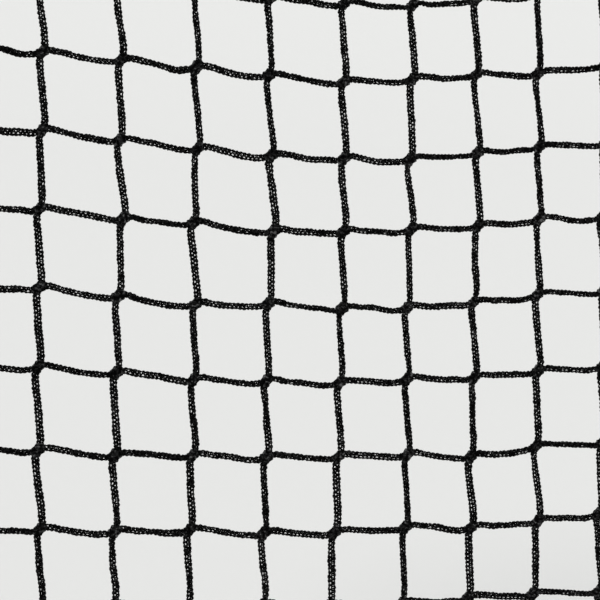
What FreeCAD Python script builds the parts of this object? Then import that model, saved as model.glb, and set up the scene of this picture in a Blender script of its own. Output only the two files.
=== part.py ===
import FreeCAD, Part
import math
import os
from FreeCAD import Vector

# A free-standing pitching target: knotless netting with a strap rectangle, hung by
# elastic ball loops in a steel tube frame that leans back on a folding rear stand.
# Millimetres and degrees. The frame is drawn upright: X across, Y to the back, Z up along
# the tubes, with the foot of the tubes' plane at the origin. It is then leant back. The
# stand is drawn hanging straight down from its pivot, then swung back and set there.

# Netting: one flat knitted mesh, with every joint a short block that lies diagonally
mesh_across = 41.3
mesh_down = 44.45
columns = 14
rows = 20
down_leg_wide = 4.1
across_leg_wide = 3.8
joint_half_long = 2.6
joint_half_wide = 2.5
net_thick = 2.4

# Drape of the netting between the straps: it sags and drifts a little to one side
sag = 24.5
sag_fade = 0.8
sag_rise = 0.3
drift = 8.0

# Strap rectangle sewn on the front of the netting, counted in meshes
zone_columns = 10
zone_rows = 14
strap_wide = 25.0
strap_thick = 1.5

# Hem: folded webbing with the netting's edge sewn in its inner part
hem_wide = 38.0
hem_over_net = 8.0
hem_ply = 1.3
hem_flare_start = 3.5
hem_flare_end = 6.0
soft_gap = 0.3
mitre_gap = 0.1

# Grommets and elastic ball loops, one every few meshes
tie_first = 1
tie_step = 3
grommet_in_hem = 13.0
grommet_radius = 8.5
grommet_throat = 4.5
grommet_rim = 2.6
grommet_barrel = 6.4
grommet_edge = 0.3
cord_radius = 2.25
cord_gap = 0.15
ball_radius = 10.0
ball_along = 0.52
ball_gap = 0.15

# Frame tube and its places along the leaning frame
tube_radius = 12.7
tube_wall = 1.2
frame_lean = 10.0
tie_gap = 34.0
rail_up = 250.0
corner_radius = 60.0
joint_up = 700.0
spigot_long = 60.0
spigot_fit = 0.1
swage_long = 6.0
joint_gap = 0.3

# Rear stand
leg_radius = 11.1
leg_wall = 1.2
leg_lean = 22.0
leg_joint_down = 480.0
bow_corner_radius = 60.0
hinge_rows_up = 4.5
hinge_back = 34.0

# Spring buttons that lock the tube joints
button_radius = 3.4
button_proud = 2.6
button_dome = 1.2
button_fit = 0.1
leaf_wide = 6.0
leaf_thick = 0.5
leaf_gap = 0.3
leaf_up = 6.0
leaf_down = 28.0
leaf_bend = 6.0

# Hinge brackets, pivot and stop
ear_thick = 2.5
sleeve_fit = 0.05
bracket_down = 34.0
bracket_up = 30.0
ear_round = 18.0
stop_round = 9.0
stop_down = 24.0
stop_gap = 0.3
bolt_spread = 20.0
pivot_radius = 4.0
pivot_fit = 0.08
stop_radius = 3.0
hole_fit = 0.1
washer_radius = 9.0
washer_thick = 0.8
side_gap = 0.1
knuckle_round = 12.0
knuckle_neck = 18.0
plug_long = 42.0
plug_fit = 0.1
rivet_radius = 2.0
rivet_down = 42.0
rivet_head_radius = 4.0
rivet_head_high = 1.4
rivet_head_flat = 2.8

# Knobs. Edges whose heights are the same within same_height are taken as one rim.
knob_radius = 20.0
knob_thick = 15.0
knob_lobes = 6
knob_scallop_radius = 7.0
knob_scallop_depth = 2.8
knob_hub_radius = 10.0
knob_hub_high = 4.0
knob_round = 1.5
same_height = 0.01
insert_radius = 6.0
insert_long = 13.0
insert_fit = 0.05

# Hex bolts, nuts and screws: across flats, head height and thread radius. Bite is how far
# a shape runs into the one it is joined to, or a cut runs past it.
pivot_head_flats = 13.0
pivot_head_high = 5.3
small_head_flats = 10.0
small_head_high = 4.0
small_nut_high = 5.0
thread_past_nut = 2.0
screw_radius = 2.1
screw_head_radius = 4.2
screw_head_high = 2.6
screw_head_side = 1.2
screw_head_flat = 3.0
screw_past_wall = 6.0
bite = 0.5

# Moulded tube fittings and feet
fitting_wall = 3.2
fitting_fit = 0.1
rail_sleeve_half = 25.0
rail_socket_long = 60.0
rail_screw_in = 15.0
shoe_high = 80.0
shoe_floor = 14.0
shoe_half_wide = 30.0
shoe_forward = 72.0
shoe_back = 17.5
shoe_screw_up = 62.0
plate_thick = 8.0
plate_round = 8.0
rib_thick = 6.0
rib_high = 58.0
rib_forward = 42.0
stake_radius = 5.0
stake_from_edge = 20.0
rear_foot_across = 240.0
rear_foot_half_wide = 25.0
rear_foot_forward = 22.0
rear_foot_back = 54.0
rear_foot_floor = 6.0

# What follows from those sizes
net_half_wide = columns * mesh_across / 2
net_half_high = rows * mesh_down / 2
zone_half_wide = zone_columns * mesh_across / 2
zone_top_row = (rows - zone_rows) / 2
hem_out = hem_wide - hem_over_net
tube_from_net = hem_out + tie_gap + tube_radius
grommet_from_tube = tube_radius + tie_gap + grommet_in_hem
upright_across = net_half_wide + tube_from_net
net_centre_up = rail_up + tube_from_net + net_half_high
bar_up = net_centre_up + net_half_high + tube_from_net
pivot_up = net_centre_up + hinge_rows_up * mesh_down
ear_inside = tube_radius + sleeve_fit
ear_outside = ear_inside + ear_thick
fold_angle = frame_lean + leg_lean
sleeve_radius = tube_radius + fitting_fit + fitting_wall
foot_ring_radius = leg_radius + fitting_fit + fitting_wall


def leant(across, back, up):
    """A point of the upright frame, where it is once the frame leans back."""
    lean = math.radians(frame_lean)
    return Vector(
        across,
        up * math.sin(lean) + back * math.cos(lean),
        up * math.cos(lean) - back * math.sin(lean),
    )


pivot = leant(0, hinge_back, pivot_up)
rear_bar_up = rear_foot_floor + fitting_fit + leg_radius
rear_bar_down = (pivot.z - rear_bar_up) / math.cos(math.radians(leg_lean))
rear_bar_back = pivot.y + rear_bar_down * math.sin(math.radians(leg_lean))


# Helpers for shapes and places
def in_frame(shape):
    shape.rotate(Vector(0, 0, 0), Vector(1, 0, 0), -frame_lean)
    return shape


def in_stand(shape):
    shape.rotate(Vector(0, 0, 0), Vector(1, 0, 0), leg_lean)
    shape.translate(pivot)
    return shape


def moved(shape, across=0.0, back=0.0, up=0.0):
    copy = shape.copy()
    copy.translate(Vector(across, back, up))
    return copy


def turned(shape, axis, angle):
    copy = shape.copy()
    copy.rotate(Vector(0, 0, 0), axis, angle)
    return copy


def rod(radius, start, end):
    run = end - start
    return Part.makeCylinder(radius, run.Length, start, run)


def pipe(outer_radius, inner_radius, start, end):
    return rod(outer_radius, start, end).cut(rod(inner_radius, start, end))


def rod_across(radius, inner, outer, back, up):
    return rod(radius, Vector(inner, back, up), Vector(outer, back, up))


def block(low, high):
    size = high - low
    return Part.makeBox(size.x, size.y, size.z, low)


def plate_from(points, run):
    """A flat shape through the points, carried along run."""
    return Part.Face(Part.makePolygon(points + points[:1])).extrude(run)


def spun(points):
    """A solid of revolution about Z from corners given as (radius, height)."""
    corners = [Vector(radius, 0, up) for radius, up in points]
    face = Part.Face(Part.makePolygon(corners + corners[:1]))
    return face.revolve(Vector(0, 0, 0), Vector(0, 0, 1), 360)


def bent_path(points, radius):
    """Straight runs through the points, with every corner rounded."""
    edges = []
    start = points[0]
    for before, corner, after in zip(points, points[1:], points[2:]):
        along = (corner - before).normalize()
        onward = (after - corner).normalize()
        half_turn = along.getAngle(onward) / 2
        inward = (onward - along).normalize()
        arc_start = corner - along * radius * math.tan(half_turn)
        arc_end = corner + onward * radius * math.tan(half_turn)
        middle = corner + inward * radius * (1 / math.cos(half_turn) - 1)
        edges.append(Part.LineSegment(start, arc_start).toShape())
        edges.append(Part.Arc(arc_start, middle, arc_end).toShape())
        start = arc_end
    edges.append(Part.LineSegment(start, points[-1]).toShape())
    return Part.Wire(edges)


def swept(path, radius):
    first = path.Edges[0]
    start = first.valueAt(first.FirstParameter)
    along = first.tangentAt(first.FirstParameter)
    ring = Part.Wire(Part.makeCircle(radius, start, along))
    return path.makePipeShell([ring], True, False)


def bent_tube(path, outer_radius, wall):
    return swept(path, outer_radius).cut(swept(path, outer_radius - wall))


def hexagon(flats, start, run):
    """A hexagonal bar, for bolt heads and nuts."""
    circle_radius = flats / math.sqrt(3)
    corners = [
        Vector(circle_radius * math.cos(turn), circle_radius * math.sin(turn), 0)
        for turn in (math.radians(60 * step) for step in range(6))
    ]
    bar = plate_from(corners, Vector(0, 0, run.Length))
    bar.rotate(Vector(0, 0, 0), Vector(0, 0, 1), 30)
    bar.Placement = FreeCAD.Placement(
        start, FreeCAD.Rotation(Vector(0, 0, 1), run)
    ).multiply(bar.Placement)
    return bar


def pan_screw(tip_depth):
    """A pan-head screw along Z: the head stands on Z = 0 and the shank points down."""
    shank = rod(screw_radius, Vector(0, 0, -tip_depth), Vector(0, 0, bite))
    head = spun(
        [
            (0, 0),
            (screw_head_radius, 0),
            (screw_head_radius, screw_head_side),
            (screw_head_flat, screw_head_high),
            (0, screw_head_high),
        ]
    )
    return head.fuse(shank)


# Netting
def crossing(column, row):
    """Where two lines of the mesh cross, across and up from the netting's middle."""
    across = (column - columns / 2) * mesh_across
    up = (rows / 2 - row) * mesh_down
    share = (row - zone_top_row) / zone_rows
    if abs(across) >= zone_half_wide or not 0 < share < 1:
        return Vector(across, 0, up)
    between_straps = (1 + math.cos(math.pi * across / zone_half_wide)) / 2
    rise = 1 - math.exp(-((share / sag_rise) ** 2))
    fall = sag * (1 - share) ** sag_fade * rise * between_straps
    aside = drift * math.sin(math.pi * share) * between_straps
    return Vector(across + aside, 0, up - fall)


def inset_corners(corners, insets):
    """Move each side of a polygon inwards by its own inset and give the new corners."""
    lines = []
    for number, inset in enumerate(insets):
        start = corners[number]
        run = (corners[(number + 1) % len(corners)] - start).normalize()
        inward = Vector(run.z, 0, -run.x)
        lines.append((start + inward * inset, run))
    points = []
    for number, (start, run) in enumerate(lines):
        before, before_run = lines[number - 1]
        turn = before_run.x * run.z - before_run.z * run.x
        gap = start - before
        reach = (gap.x * run.z - gap.z * run.x) / turn
        points.append(before + before_run * reach)
    return points


def mesh_gap(column, row):
    """The six-sided opening between four joints, clockwise from the upper left one."""
    half = joint_half_long / math.sqrt(2)
    end = Vector(half, 0, half)
    upper_left = crossing(column, row)
    upper_right = crossing(column + 1, row)
    lower_right = crossing(column + 1, row + 1)
    lower_left = crossing(column, row + 1)
    corners = [
        upper_left + end,
        upper_right - end,
        lower_right + end,
        lower_right - end,
        lower_left + end,
        upper_left - end,
    ]
    across_inset = across_leg_wide / 2
    down_inset = down_leg_wide / 2
    insets = [
        across_inset,
        down_inset,
        joint_half_wide,
        across_inset,
        down_inset,
        joint_half_wide,
    ]
    points = inset_corners(corners, insets)
    return Part.makePolygon(points + points[:1])


def make_netting():
    wide = net_half_wide + down_leg_wide / 2
    high = net_half_high + across_leg_wide / 2
    edge = [
        Vector(-wide, 0, -high),
        Vector(wide, 0, -high),
        Vector(wide, 0, high),
        Vector(-wide, 0, high),
    ]
    outline = Part.makePolygon(edge + edge[:1])
    gaps = [mesh_gap(column, row) for column in range(columns) for row in range(rows)]
    holed = Part.makeFace([outline] + gaps, "Part::FaceMakerBullseye")
    sheet = holed.extrude(Vector(0, net_thick, 0))
    return in_frame(moved(sheet, back=-net_thick / 2, up=net_centre_up))


# Hem, grommets and ball loops
def tie_places():
    """Each tie as (across, up, turn about Y): the turn points it from tube to netting."""
    places = []
    for column in range(tie_first, columns, tie_step):
        across = (column - columns / 2) * mesh_across
        places.append((across, bar_up, 90))
        places.append((across, rail_up, -90))
    for row in range(tie_first, rows, tie_step):
        up = net_centre_up + (rows / 2 - row) * mesh_down
        places.append((-upright_across, up, 0))
        places.append((upright_across, up, 180))
    return places


def at_ties(shape):
    placed = [
        moved(turned(shape, Vector(0, 1, 0), turn), across, 0, up)
        for across, up, turn in tie_places()
    ]
    return placed


def hem_section():
    """The hem's outline: distance out from the netting's edge line, and to the back."""
    flare = net_thick / 2 + soft_gap + hem_ply
    slot = net_thick / 2 + soft_gap
    slot_end = down_leg_wide / 2 + soft_gap
    upper_half = [
        (hem_out, hem_ply),
        (hem_flare_end, hem_ply),
        (hem_flare_start, flare),
        (-hem_over_net, flare),
        (-hem_over_net, slot),
        (slot_end, slot),
    ]
    return upper_half + [(out, -back) for out, back in reversed(upper_half)]


def hem_strip(half_long, half_deep):
    """The top strip of a hem around a panel half_long wide and half_deep high."""
    outer = half_long + hem_out
    corners = [
        Vector(-outer, back, half_deep + out) for out, back in hem_section()
    ]
    strip = plate_from(corners, Vector(2 * outer, 0, 0))
    top = half_deep + hem_out
    bottom = half_deep - hem_over_net
    slant = top - bottom
    mitre = [
        Vector(-outer + mitre_gap, -hem_wide, top),
        Vector(outer - mitre_gap, -hem_wide, top),
        Vector(outer - slant - mitre_gap, -hem_wide, bottom),
        Vector(-outer + slant + mitre_gap, -hem_wide, bottom),
    ]
    return strip.common(plate_from(mitre, Vector(0, 2 * hem_wide, 0)))


def make_hems():
    level = Vector(0, 1, 0)
    across = hem_strip(net_half_wide, net_half_high)
    down = hem_strip(net_half_high, net_half_wide)
    hole = rod(
        grommet_barrel + hole_fit, Vector(0, -hem_wide, 0), Vector(0, hem_wide, 0)
    )
    holes = at_ties(moved(hole, across=grommet_from_tube))
    strips = {
        "hem_top": across,
        "hem_bottom": turned(across, level, 180),
        "hem_right": turned(down, level, 90),
        "hem_left": turned(down, level, -90),
    }
    made = {}
    for name, strip in strips.items():
        made[name] = in_frame(moved(strip, up=net_centre_up).cut(holes))
    return made


def make_grommets():
    ring_centre = grommet_throat + grommet_rim
    face = hem_ply + grommet_edge / 2
    edges = [
        Part.Arc(
            Vector(ring_centre, 0, -grommet_rim),
            Vector(grommet_throat, 0, 0),
            Vector(ring_centre, 0, grommet_rim),
        ).toShape(),
        Part.makePolygon(
            [
                Vector(ring_centre, 0, grommet_rim),
                Vector(grommet_radius, 0, face + grommet_edge),
                Vector(grommet_radius, 0, face),
                Vector(grommet_barrel, 0, face),
                Vector(grommet_barrel, 0, -face),
                Vector(grommet_radius, 0, -face),
                Vector(grommet_radius, 0, -face - grommet_edge),
                Vector(ring_centre, 0, -grommet_rim),
            ]
        ),
    ]
    section = Part.Face(Part.Wire(edges))
    ring = section.revolve(Vector(0, 0, 0), Vector(0, 0, 1), 360)
    ring = moved(turned(ring, Vector(1, 0, 0), 90), across=grommet_from_tube)
    return in_frame(Part.makeCompound(at_ties(ring)))


def loop_route():
    """The loop's two turns and the ends of its straight strands, in the plane Z = 0."""
    big = tube_radius + cord_gap + cord_radius
    small = grommet_rim + cord_gap + cord_radius
    far = grommet_from_tube - grommet_throat - grommet_rim
    slant = math.asin((big - small) / far)
    near_point = Vector(big * math.sin(slant), -big * math.cos(slant), 0)
    far_point = Vector(far + small * math.sin(slant), -small * math.cos(slant), 0)
    return big, small, far, near_point, far_point


def make_loops():
    big, small, far, near_front, far_front = loop_route()
    near_back = Vector(near_front.x, -near_front.y, 0)
    far_back = Vector(far_front.x, -far_front.y, 0)
    run = far_front - near_front
    ball_at = near_front + run * ball_along
    half_gap = run.normalize() * cord_radius / 2
    strand_start = ball_at + half_gap
    strand_end = ball_at - half_gap
    edges = [
        Part.LineSegment(strand_start, far_front).toShape(),
        Part.Arc(far_front, Vector(far + small, 0, 0), far_back).toShape(),
        Part.LineSegment(far_back, near_back).toShape(),
        Part.Arc(near_back, Vector(-big, 0, 0), near_front).toShape(),
        Part.LineSegment(near_front, strand_end).toShape(),
    ]
    loop = swept(Part.Wire(edges), cord_radius)
    return in_frame(Part.makeCompound(at_ties(loop)))


def make_balls():
    """Moulded balls, each with a bore for the loop's front strand."""
    near_front, far_front = loop_route()[3:]
    run = far_front - near_front
    bore = cord_radius + ball_gap
    half = math.sqrt(ball_radius**2 - bore**2)
    bore_start = Vector(bore, 0, -half)
    bore_end = Vector(bore, 0, half)
    outside = Part.Arc(bore_start, Vector(ball_radius, 0, 0), bore_end).toShape()
    section = Part.Face(Part.Wire([outside, Part.makeLine(bore_end, bore_start)]))
    ball = section.revolve(Vector(0, 0, 0), Vector(0, 0, 1), 360)
    turn = FreeCAD.Rotation(Vector(0, 0, 1), run)
    ball.Placement = FreeCAD.Placement(near_front + run * ball_along, turn)
    return in_frame(Part.makeCompound(at_ties(ball)))


# Straps of the target rectangle
def make_straps():
    half = strap_wide / 2
    front = -net_thick / 2 - soft_gap
    top = net_centre_up + (rows / 2 - zone_top_row) * mesh_down
    bottom = top - zone_rows * mesh_down
    outer = zone_half_wide + half
    straps = {}
    for name, up in (("target_strap_top", top), ("target_strap_bottom", bottom)):
        straps[name] = block(
            Vector(-outer, front - strap_thick, up - half), Vector(outer, front, up + half)
        )
    for name, side in (("target_strap_left", -1), ("target_strap_right", 1)):
        straps[name] = block(
            Vector(side * zone_half_wide - half, front - strap_thick, bottom + half),
            Vector(side * zone_half_wide + half, front, top - half),
        )
    return {name: in_frame(strap) for name, strap in straps.items()}


# Tube joints
def swaged_tube(radius, wall, low, joint):
    """A tube along Z whose top end is drawn in to slide inside its neighbour."""
    bore = radius - wall
    spigot = bore - spigot_fit
    spigot_bore = spigot - wall
    top = joint + spigot_long
    return spun(
        [
            (bore, low),
            (radius, low),
            (radius, joint - swage_long),
            (spigot, joint),
            (spigot, top),
            (spigot_bore, top),
            (spigot_bore, joint),
            (bore, joint - swage_long),
        ]
    )


def leaf_face(radius, wall):
    """How far out from the tube's axis the spring leaf's outer face lies."""
    spigot_bore = radius - 2 * wall - spigot_fit
    return math.sqrt(spigot_bore**2 - (leaf_wide / 2) ** 2) - leaf_gap


def button_hole(radius):
    """The hole for a spring button, out along +X through one wall of a tube on Z."""
    return rod(button_radius + button_fit, Vector(0, 0, 0), Vector(2 * radius, 0, 0))


def snap_button(radius, wall):
    """A round-ended button, out along +X through both walls of a tube joint on Z."""
    inner = leaf_face(radius, wall)
    outer = radius + button_proud
    button = spun(
        [
            (0, inner),
            (button_radius, inner),
            (button_radius, outer - button_dome),
            (button_radius - button_dome / 3, outer - button_dome / 3),
            (button_radius - button_dome, outer),
            (0, outer),
        ]
    )
    return turned(button, Vector(0, 1, 0), 90)


def snap_leaf(radius, wall):
    """The bent spring leaf behind the button, inside the spigot."""
    face = leaf_face(radius, wall)
    line = [
        Vector(face - leaf_thick, 0, leaf_up),
        Vector(face - leaf_thick, 0, -leaf_down),
        Vector(face - leaf_thick - leaf_bend / 2, 0, -leaf_down - leaf_bend),
        Vector(face - leaf_thick - leaf_bend, 0, -leaf_down),
        Vector(leaf_thick - face, 0, leaf_up),
    ]
    outer = [point + Vector(leaf_thick, 0, 0) for point in line[:2]]
    outer.append(line[2] + Vector(0, 0, -2 * leaf_thick))
    outer += [point + Vector(-leaf_thick, 0, -leaf_thick) for point in line[3:4]]
    outer.append(line[4] + Vector(-leaf_thick, 0, 0))
    leaf = plate_from(line + outer[::-1], Vector(0, leaf_wide, 0))
    return moved(leaf, back=-leaf_wide / 2)


def snap_places():
    """Each spring button's side (-1 left, 1 right), tube and place, frame then stand."""
    frame_up = joint_up + spigot_long / 2
    leg_up = -leg_joint_down - spigot_long / 2
    return [
        ("left_bow_button", -1, tube_radius, tube_wall, frame_up, in_frame),
        ("right_bow_button", 1, tube_radius, tube_wall, frame_up, in_frame),
        ("left_leg_button", -1, leg_radius, leg_wall, leg_up, in_stand),
        ("right_leg_button", 1, leg_radius, leg_wall, leg_up, in_stand),
    ]


def make_buttons():
    made = {}
    for name, side, radius, wall, up, place in snap_places():
        facing = 0 if side > 0 else 180
        button = turned(snap_button(radius, wall), Vector(0, 0, 1), facing)
        leaf = turned(snap_leaf(radius, wall), Vector(0, 0, 1), facing)
        made[name] = place(moved(button, side * upright_across, 0, up))
        made[name + "_spring"] = place(moved(leaf, side * upright_across, 0, up))
    return made


# Frame tubes
def rail_screw_places():
    """Screw places at the rail's fittings, as (across, up) from the right side."""
    socket_across = upright_across - rail_socket_long + rail_screw_in
    return [(upright_across, rail_up), (socket_across, rail_up)]


def screw_hole(across, up):
    hole = rod(screw_radius + hole_fit, Vector(0, 0, 0), Vector(0, 2 * sleeve_radius, 0))
    return moved(hole, across, 0, up)


def make_upright(side):
    tube = swaged_tube(tube_radius, tube_wall, shoe_floor, joint_up)
    facing = 0 if side > 0 else 180
    hole = turned(button_hole(tube_radius), Vector(0, 0, 1), facing)
    tube = tube.cut(moved(hole, up=joint_up + spigot_long / 2))
    tube = tube.cut(screw_hole(0, rail_up))
    front_hole = turned(screw_hole(0, 0), Vector(0, 0, 1), 180)
    tube = tube.cut(moved(front_hole, up=shoe_screw_up))
    return in_frame(moved(tube, across=side * upright_across))


def make_top_bow():
    path = bent_path(
        [
            Vector(-upright_across, 0, joint_up + joint_gap),
            Vector(-upright_across, 0, bar_up),
            Vector(upright_across, 0, bar_up),
            Vector(upright_across, 0, joint_up + joint_gap),
        ],
        corner_radius,
    )
    bow = bent_tube(path, tube_radius, tube_wall)
    for side, facing in ((-1, 180), (1, 0)):
        hole = turned(button_hole(tube_radius), Vector(0, 0, 1), facing)
        bow = bow.cut(moved(hole, side * upright_across, 0, joint_up + spigot_long / 2))
        for step in (-bolt_spread, bolt_spread):
            start = side * upright_across - 2 * tube_radius
            end = side * upright_across + 2 * tube_radius
            radius = stop_radius + hole_fit
            bow = bow.cut(rod_across(radius, start, end, 0, pivot_up + step))
    return in_frame(bow)


def make_bottom_rail():
    end = upright_across - sleeve_radius - joint_gap
    rail = pipe(
        tube_radius, tube_radius - tube_wall, Vector(-end, 0, rail_up), Vector(end, 0, rail_up)
    )
    socket_across = rail_screw_places()[1][0]
    for side in (-1, 1):
        rail = rail.cut(screw_hole(side * socket_across, rail_up))
    return in_frame(rail)


def make_rail_bracket(side):
    """A moulded tee: a sleeve on the upright with a socket for the rail."""
    centre = side * upright_across
    low = Vector(centre, 0, rail_up - rail_sleeve_half)
    high = Vector(centre, 0, rail_up + rail_sleeve_half)
    mouth = Vector(side * (upright_across - rail_socket_long), 0, rail_up)
    middle = Vector(centre, 0, rail_up)
    seat = Vector(side * (upright_across - sleeve_radius), 0, rail_up)
    tee = rod(sleeve_radius, low, high).fuse(rod(sleeve_radius, middle, mouth))
    tee = tee.cut(rod(tube_radius + fitting_fit, low, high))
    tee = tee.cut(rod(tube_radius + fitting_fit, seat, mouth))
    for across, up in rail_screw_places():
        tee = tee.cut(screw_hole(side * across, up))
    return in_frame(tee)


def make_rail_screws():
    depth = sleeve_radius - tube_radius + tube_wall + screw_past_wall
    screw = turned(pan_screw(depth), Vector(1, 0, 0), -90)
    screws = []
    for side in (-1, 1):
        for across, up in rail_screw_places():
            screws.append(moved(screw, side * across, sleeve_radius, up))
    return in_frame(Part.makeCompound(screws))


# Feet
def foot_plate(half_wide, front, back):
    plate = block(Vector(-half_wide, front, 0), Vector(half_wide, back, plate_thick))
    upright_edges = [edge for edge in plate.Edges if abs(edge.tangentAt(0).z) > 0.9]
    return plate.makeFillet(plate_round, upright_edges)


def stake_hole(back):
    return rod(stake_radius, Vector(0, back, -bite), Vector(0, back, plate_thick + bite))


def make_front_foot(side):
    """A moulded shoe: a leaning sleeve on a flat plate with a stake hole in front."""
    sleeve = in_frame(rod(sleeve_radius, Vector(0, 0, -shoe_floor), Vector(0, 0, shoe_high)))
    bore = in_frame(
        rod(tube_radius + fitting_fit, Vector(0, 0, shoe_floor), Vector(0, 0, shoe_high))
    )
    rib = plate_from(
        [
            Vector(-rib_thick / 2, -rib_forward, plate_thick / 2),
            Vector(-rib_thick / 2, 0, plate_thick / 2),
            Vector(-rib_thick / 2, 0, rib_high),
            Vector(-rib_thick / 2, -tube_radius, rib_high),
        ],
        Vector(rib_thick, 0, 0),
    )
    below = block(
        Vector(-2 * shoe_half_wide, -shoe_forward, -2 * shoe_floor),
        Vector(2 * shoe_half_wide, shoe_forward, 0),
    )
    shoe = foot_plate(shoe_half_wide, -shoe_forward, shoe_back).fuse([sleeve, rib])
    shoe = shoe.cut([below, bore, stake_hole(-shoe_forward + stake_from_edge)])
    front_hole = turned(screw_hole(0, 0), Vector(0, 0, 1), 180)
    shoe = shoe.cut(in_frame(moved(front_hole, up=shoe_screw_up)))
    return moved(shoe.removeSplitter(), across=side * upright_across)


def make_front_foot_screws():
    depth = sleeve_radius - tube_radius + tube_wall + screw_past_wall
    screw = turned(pan_screw(depth), Vector(1, 0, 0), 90)
    screws = [
        moved(screw, side * upright_across, -sleeve_radius, shoe_screw_up)
        for side in (-1, 1)
    ]
    return in_frame(Part.makeCompound(screws))


def make_rear_foot(side):
    """A moulded saddle round the rear bar, with a stake hole behind the bar."""
    half = rear_foot_half_wide
    ring = rod(foot_ring_radius, Vector(-half, 0, rear_bar_up), Vector(half, 0, rear_bar_up))
    seat = block(
        Vector(-half, -foot_ring_radius, 0), Vector(half, foot_ring_radius, rear_bar_up)
    )
    bore = rod(
        leg_radius + fitting_fit, Vector(-half, 0, rear_bar_up), Vector(half, 0, rear_bar_up)
    )
    plate = foot_plate(half, -rear_foot_forward, rear_foot_back)
    foot = plate.fuse([ring, seat])
    foot = foot.cut([bore, stake_hole(rear_foot_back - stake_from_edge)])
    hole = rod(screw_radius + hole_fit, Vector(0, 0, rear_bar_up), Vector(0, 0, shoe_high))
    return moved(foot.cut(hole).removeSplitter(), side * rear_foot_across, rear_bar_back)


def make_rear_foot_screws():
    depth = foot_ring_radius - leg_radius + leg_wall + screw_past_wall
    top = rear_bar_up + foot_ring_radius
    screws = [
        moved(pan_screw(depth), side * rear_foot_across, rear_bar_back, top)
        for side in (-1, 1)
    ]
    return Part.makeCompound(screws)


# Rear stand tubes
def make_rear_leg(side):
    """A straight leg that hangs from its knuckle, with a spigot at its lower end."""
    leg = swaged_tube(leg_radius, leg_wall, knuckle_neck, leg_joint_down)
    leg = turned(leg, Vector(1, 0, 0), 180)
    facing = 0 if side > 0 else 180
    hole = turned(button_hole(leg_radius), Vector(0, 0, 1), facing)
    leg = leg.cut(moved(hole, up=-leg_joint_down - spigot_long / 2))
    through = rod(
        rivet_radius + hole_fit,
        Vector(0, -2 * leg_radius, -rivet_down),
        Vector(0, 2 * leg_radius, -rivet_down),
    )
    return in_stand(moved(leg.cut(through), across=side * upright_across))


def make_rear_bow():
    top = -leg_joint_down - joint_gap
    path = bent_path(
        [
            Vector(-upright_across, 0, top),
            Vector(-upright_across, 0, -rear_bar_down),
            Vector(upright_across, 0, -rear_bar_down),
            Vector(upright_across, 0, top),
        ],
        bow_corner_radius,
    )
    bow = bent_tube(path, leg_radius, leg_wall)
    for side, facing in ((-1, 180), (1, 0)):
        hole = turned(button_hole(leg_radius), Vector(0, 0, 1), facing)
        up = -leg_joint_down - spigot_long / 2
        bow = bow.cut(moved(hole, side * upright_across, 0, up))
    bow = in_stand(bow)
    for side in (-1, 1):
        start = Vector(side * rear_foot_across, rear_bar_back, rear_bar_up)
        bow = bow.cut(rod(screw_radius + hole_fit, start, start + Vector(0, 0, 2 * leg_radius)))
    return bow


def make_knuckle(side):
    """A moulded hinge end: an eye round the pivot and a plug in the leg's top."""
    half = ear_inside - 2 * side_gap - washer_thick
    eye = rod_across(knuckle_round, -half, half, 0, 0)
    neck = block(
        Vector(-half, -leg_radius, -knuckle_neck), Vector(half, leg_radius, 0)
    )
    plug_radius = leg_radius - leg_wall - plug_fit
    plug = rod(plug_radius, Vector(0, 0, -knuckle_neck - plug_long), Vector(0, 0, 0))
    knuckle = eye.fuse([neck, plug])
    knuckle = knuckle.cut(rod_across(pivot_radius + pivot_fit, -half, half, 0, 0))
    through = rod(
        rivet_radius + hole_fit,
        Vector(0, -leg_radius, -rivet_down),
        Vector(0, leg_radius, -rivet_down),
    )
    return in_stand(moved(knuckle.cut(through), across=side * upright_across))


def make_rivets():
    edge = leg_radius
    head = [
        (0, edge),
        (rivet_head_radius, edge),
        (rivet_head_flat, edge + rivet_head_high),
        (0, edge + rivet_head_high),
    ]
    dome = spun(head)
    rivet = dome.fuse([turned(dome, Vector(1, 0, 0), 180)])
    shank_end = Vector(0, 0, edge + bite)
    rivet = rivet.fuse(rod(rivet_radius, shank_end * -1, shank_end))
    rivet = turned(rivet, Vector(1, 0, 0), 90)
    rivets = [moved(rivet, side * upright_across, 0, -rivet_down) for side in (-1, 1)]
    return in_stand(Part.makeCompound(rivets))


# Hinge hardware
def stop_place():
    """The stop bolt's place, back and up from the pivot, just behind the resting leg."""
    fold = math.radians(fold_angle)
    behind = leg_radius + stop_gap + stop_radius
    back = stop_down * math.sin(fold) + behind * math.cos(fold)
    up = -stop_down * math.cos(fold) + behind * math.sin(fold)
    return back, up


def link(first, first_radius, second, second_radius, wide):
    """A plate across X in the shape of two discs with straight sides between them."""
    run = second - first
    turn = math.atan2(run.z, run.y)
    slant = math.acos((first_radius - second_radius) / run.Length)
    corners = []
    for side in (1, -1):
        out = Vector(0, math.cos(turn + side * slant), math.sin(turn + side * slant))
        corners.append(first + out * first_radius)
        corners.append(second + out * second_radius)
    web = plate_from(
        [corners[0], corners[1], corners[3], corners[2]], Vector(wide, 0, 0)
    )
    discs = [
        rod(first_radius, first, first + Vector(wide, 0, 0)),
        rod(second_radius, second, second + Vector(wide, 0, 0)),
    ]
    return web.fuse(discs)


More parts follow.
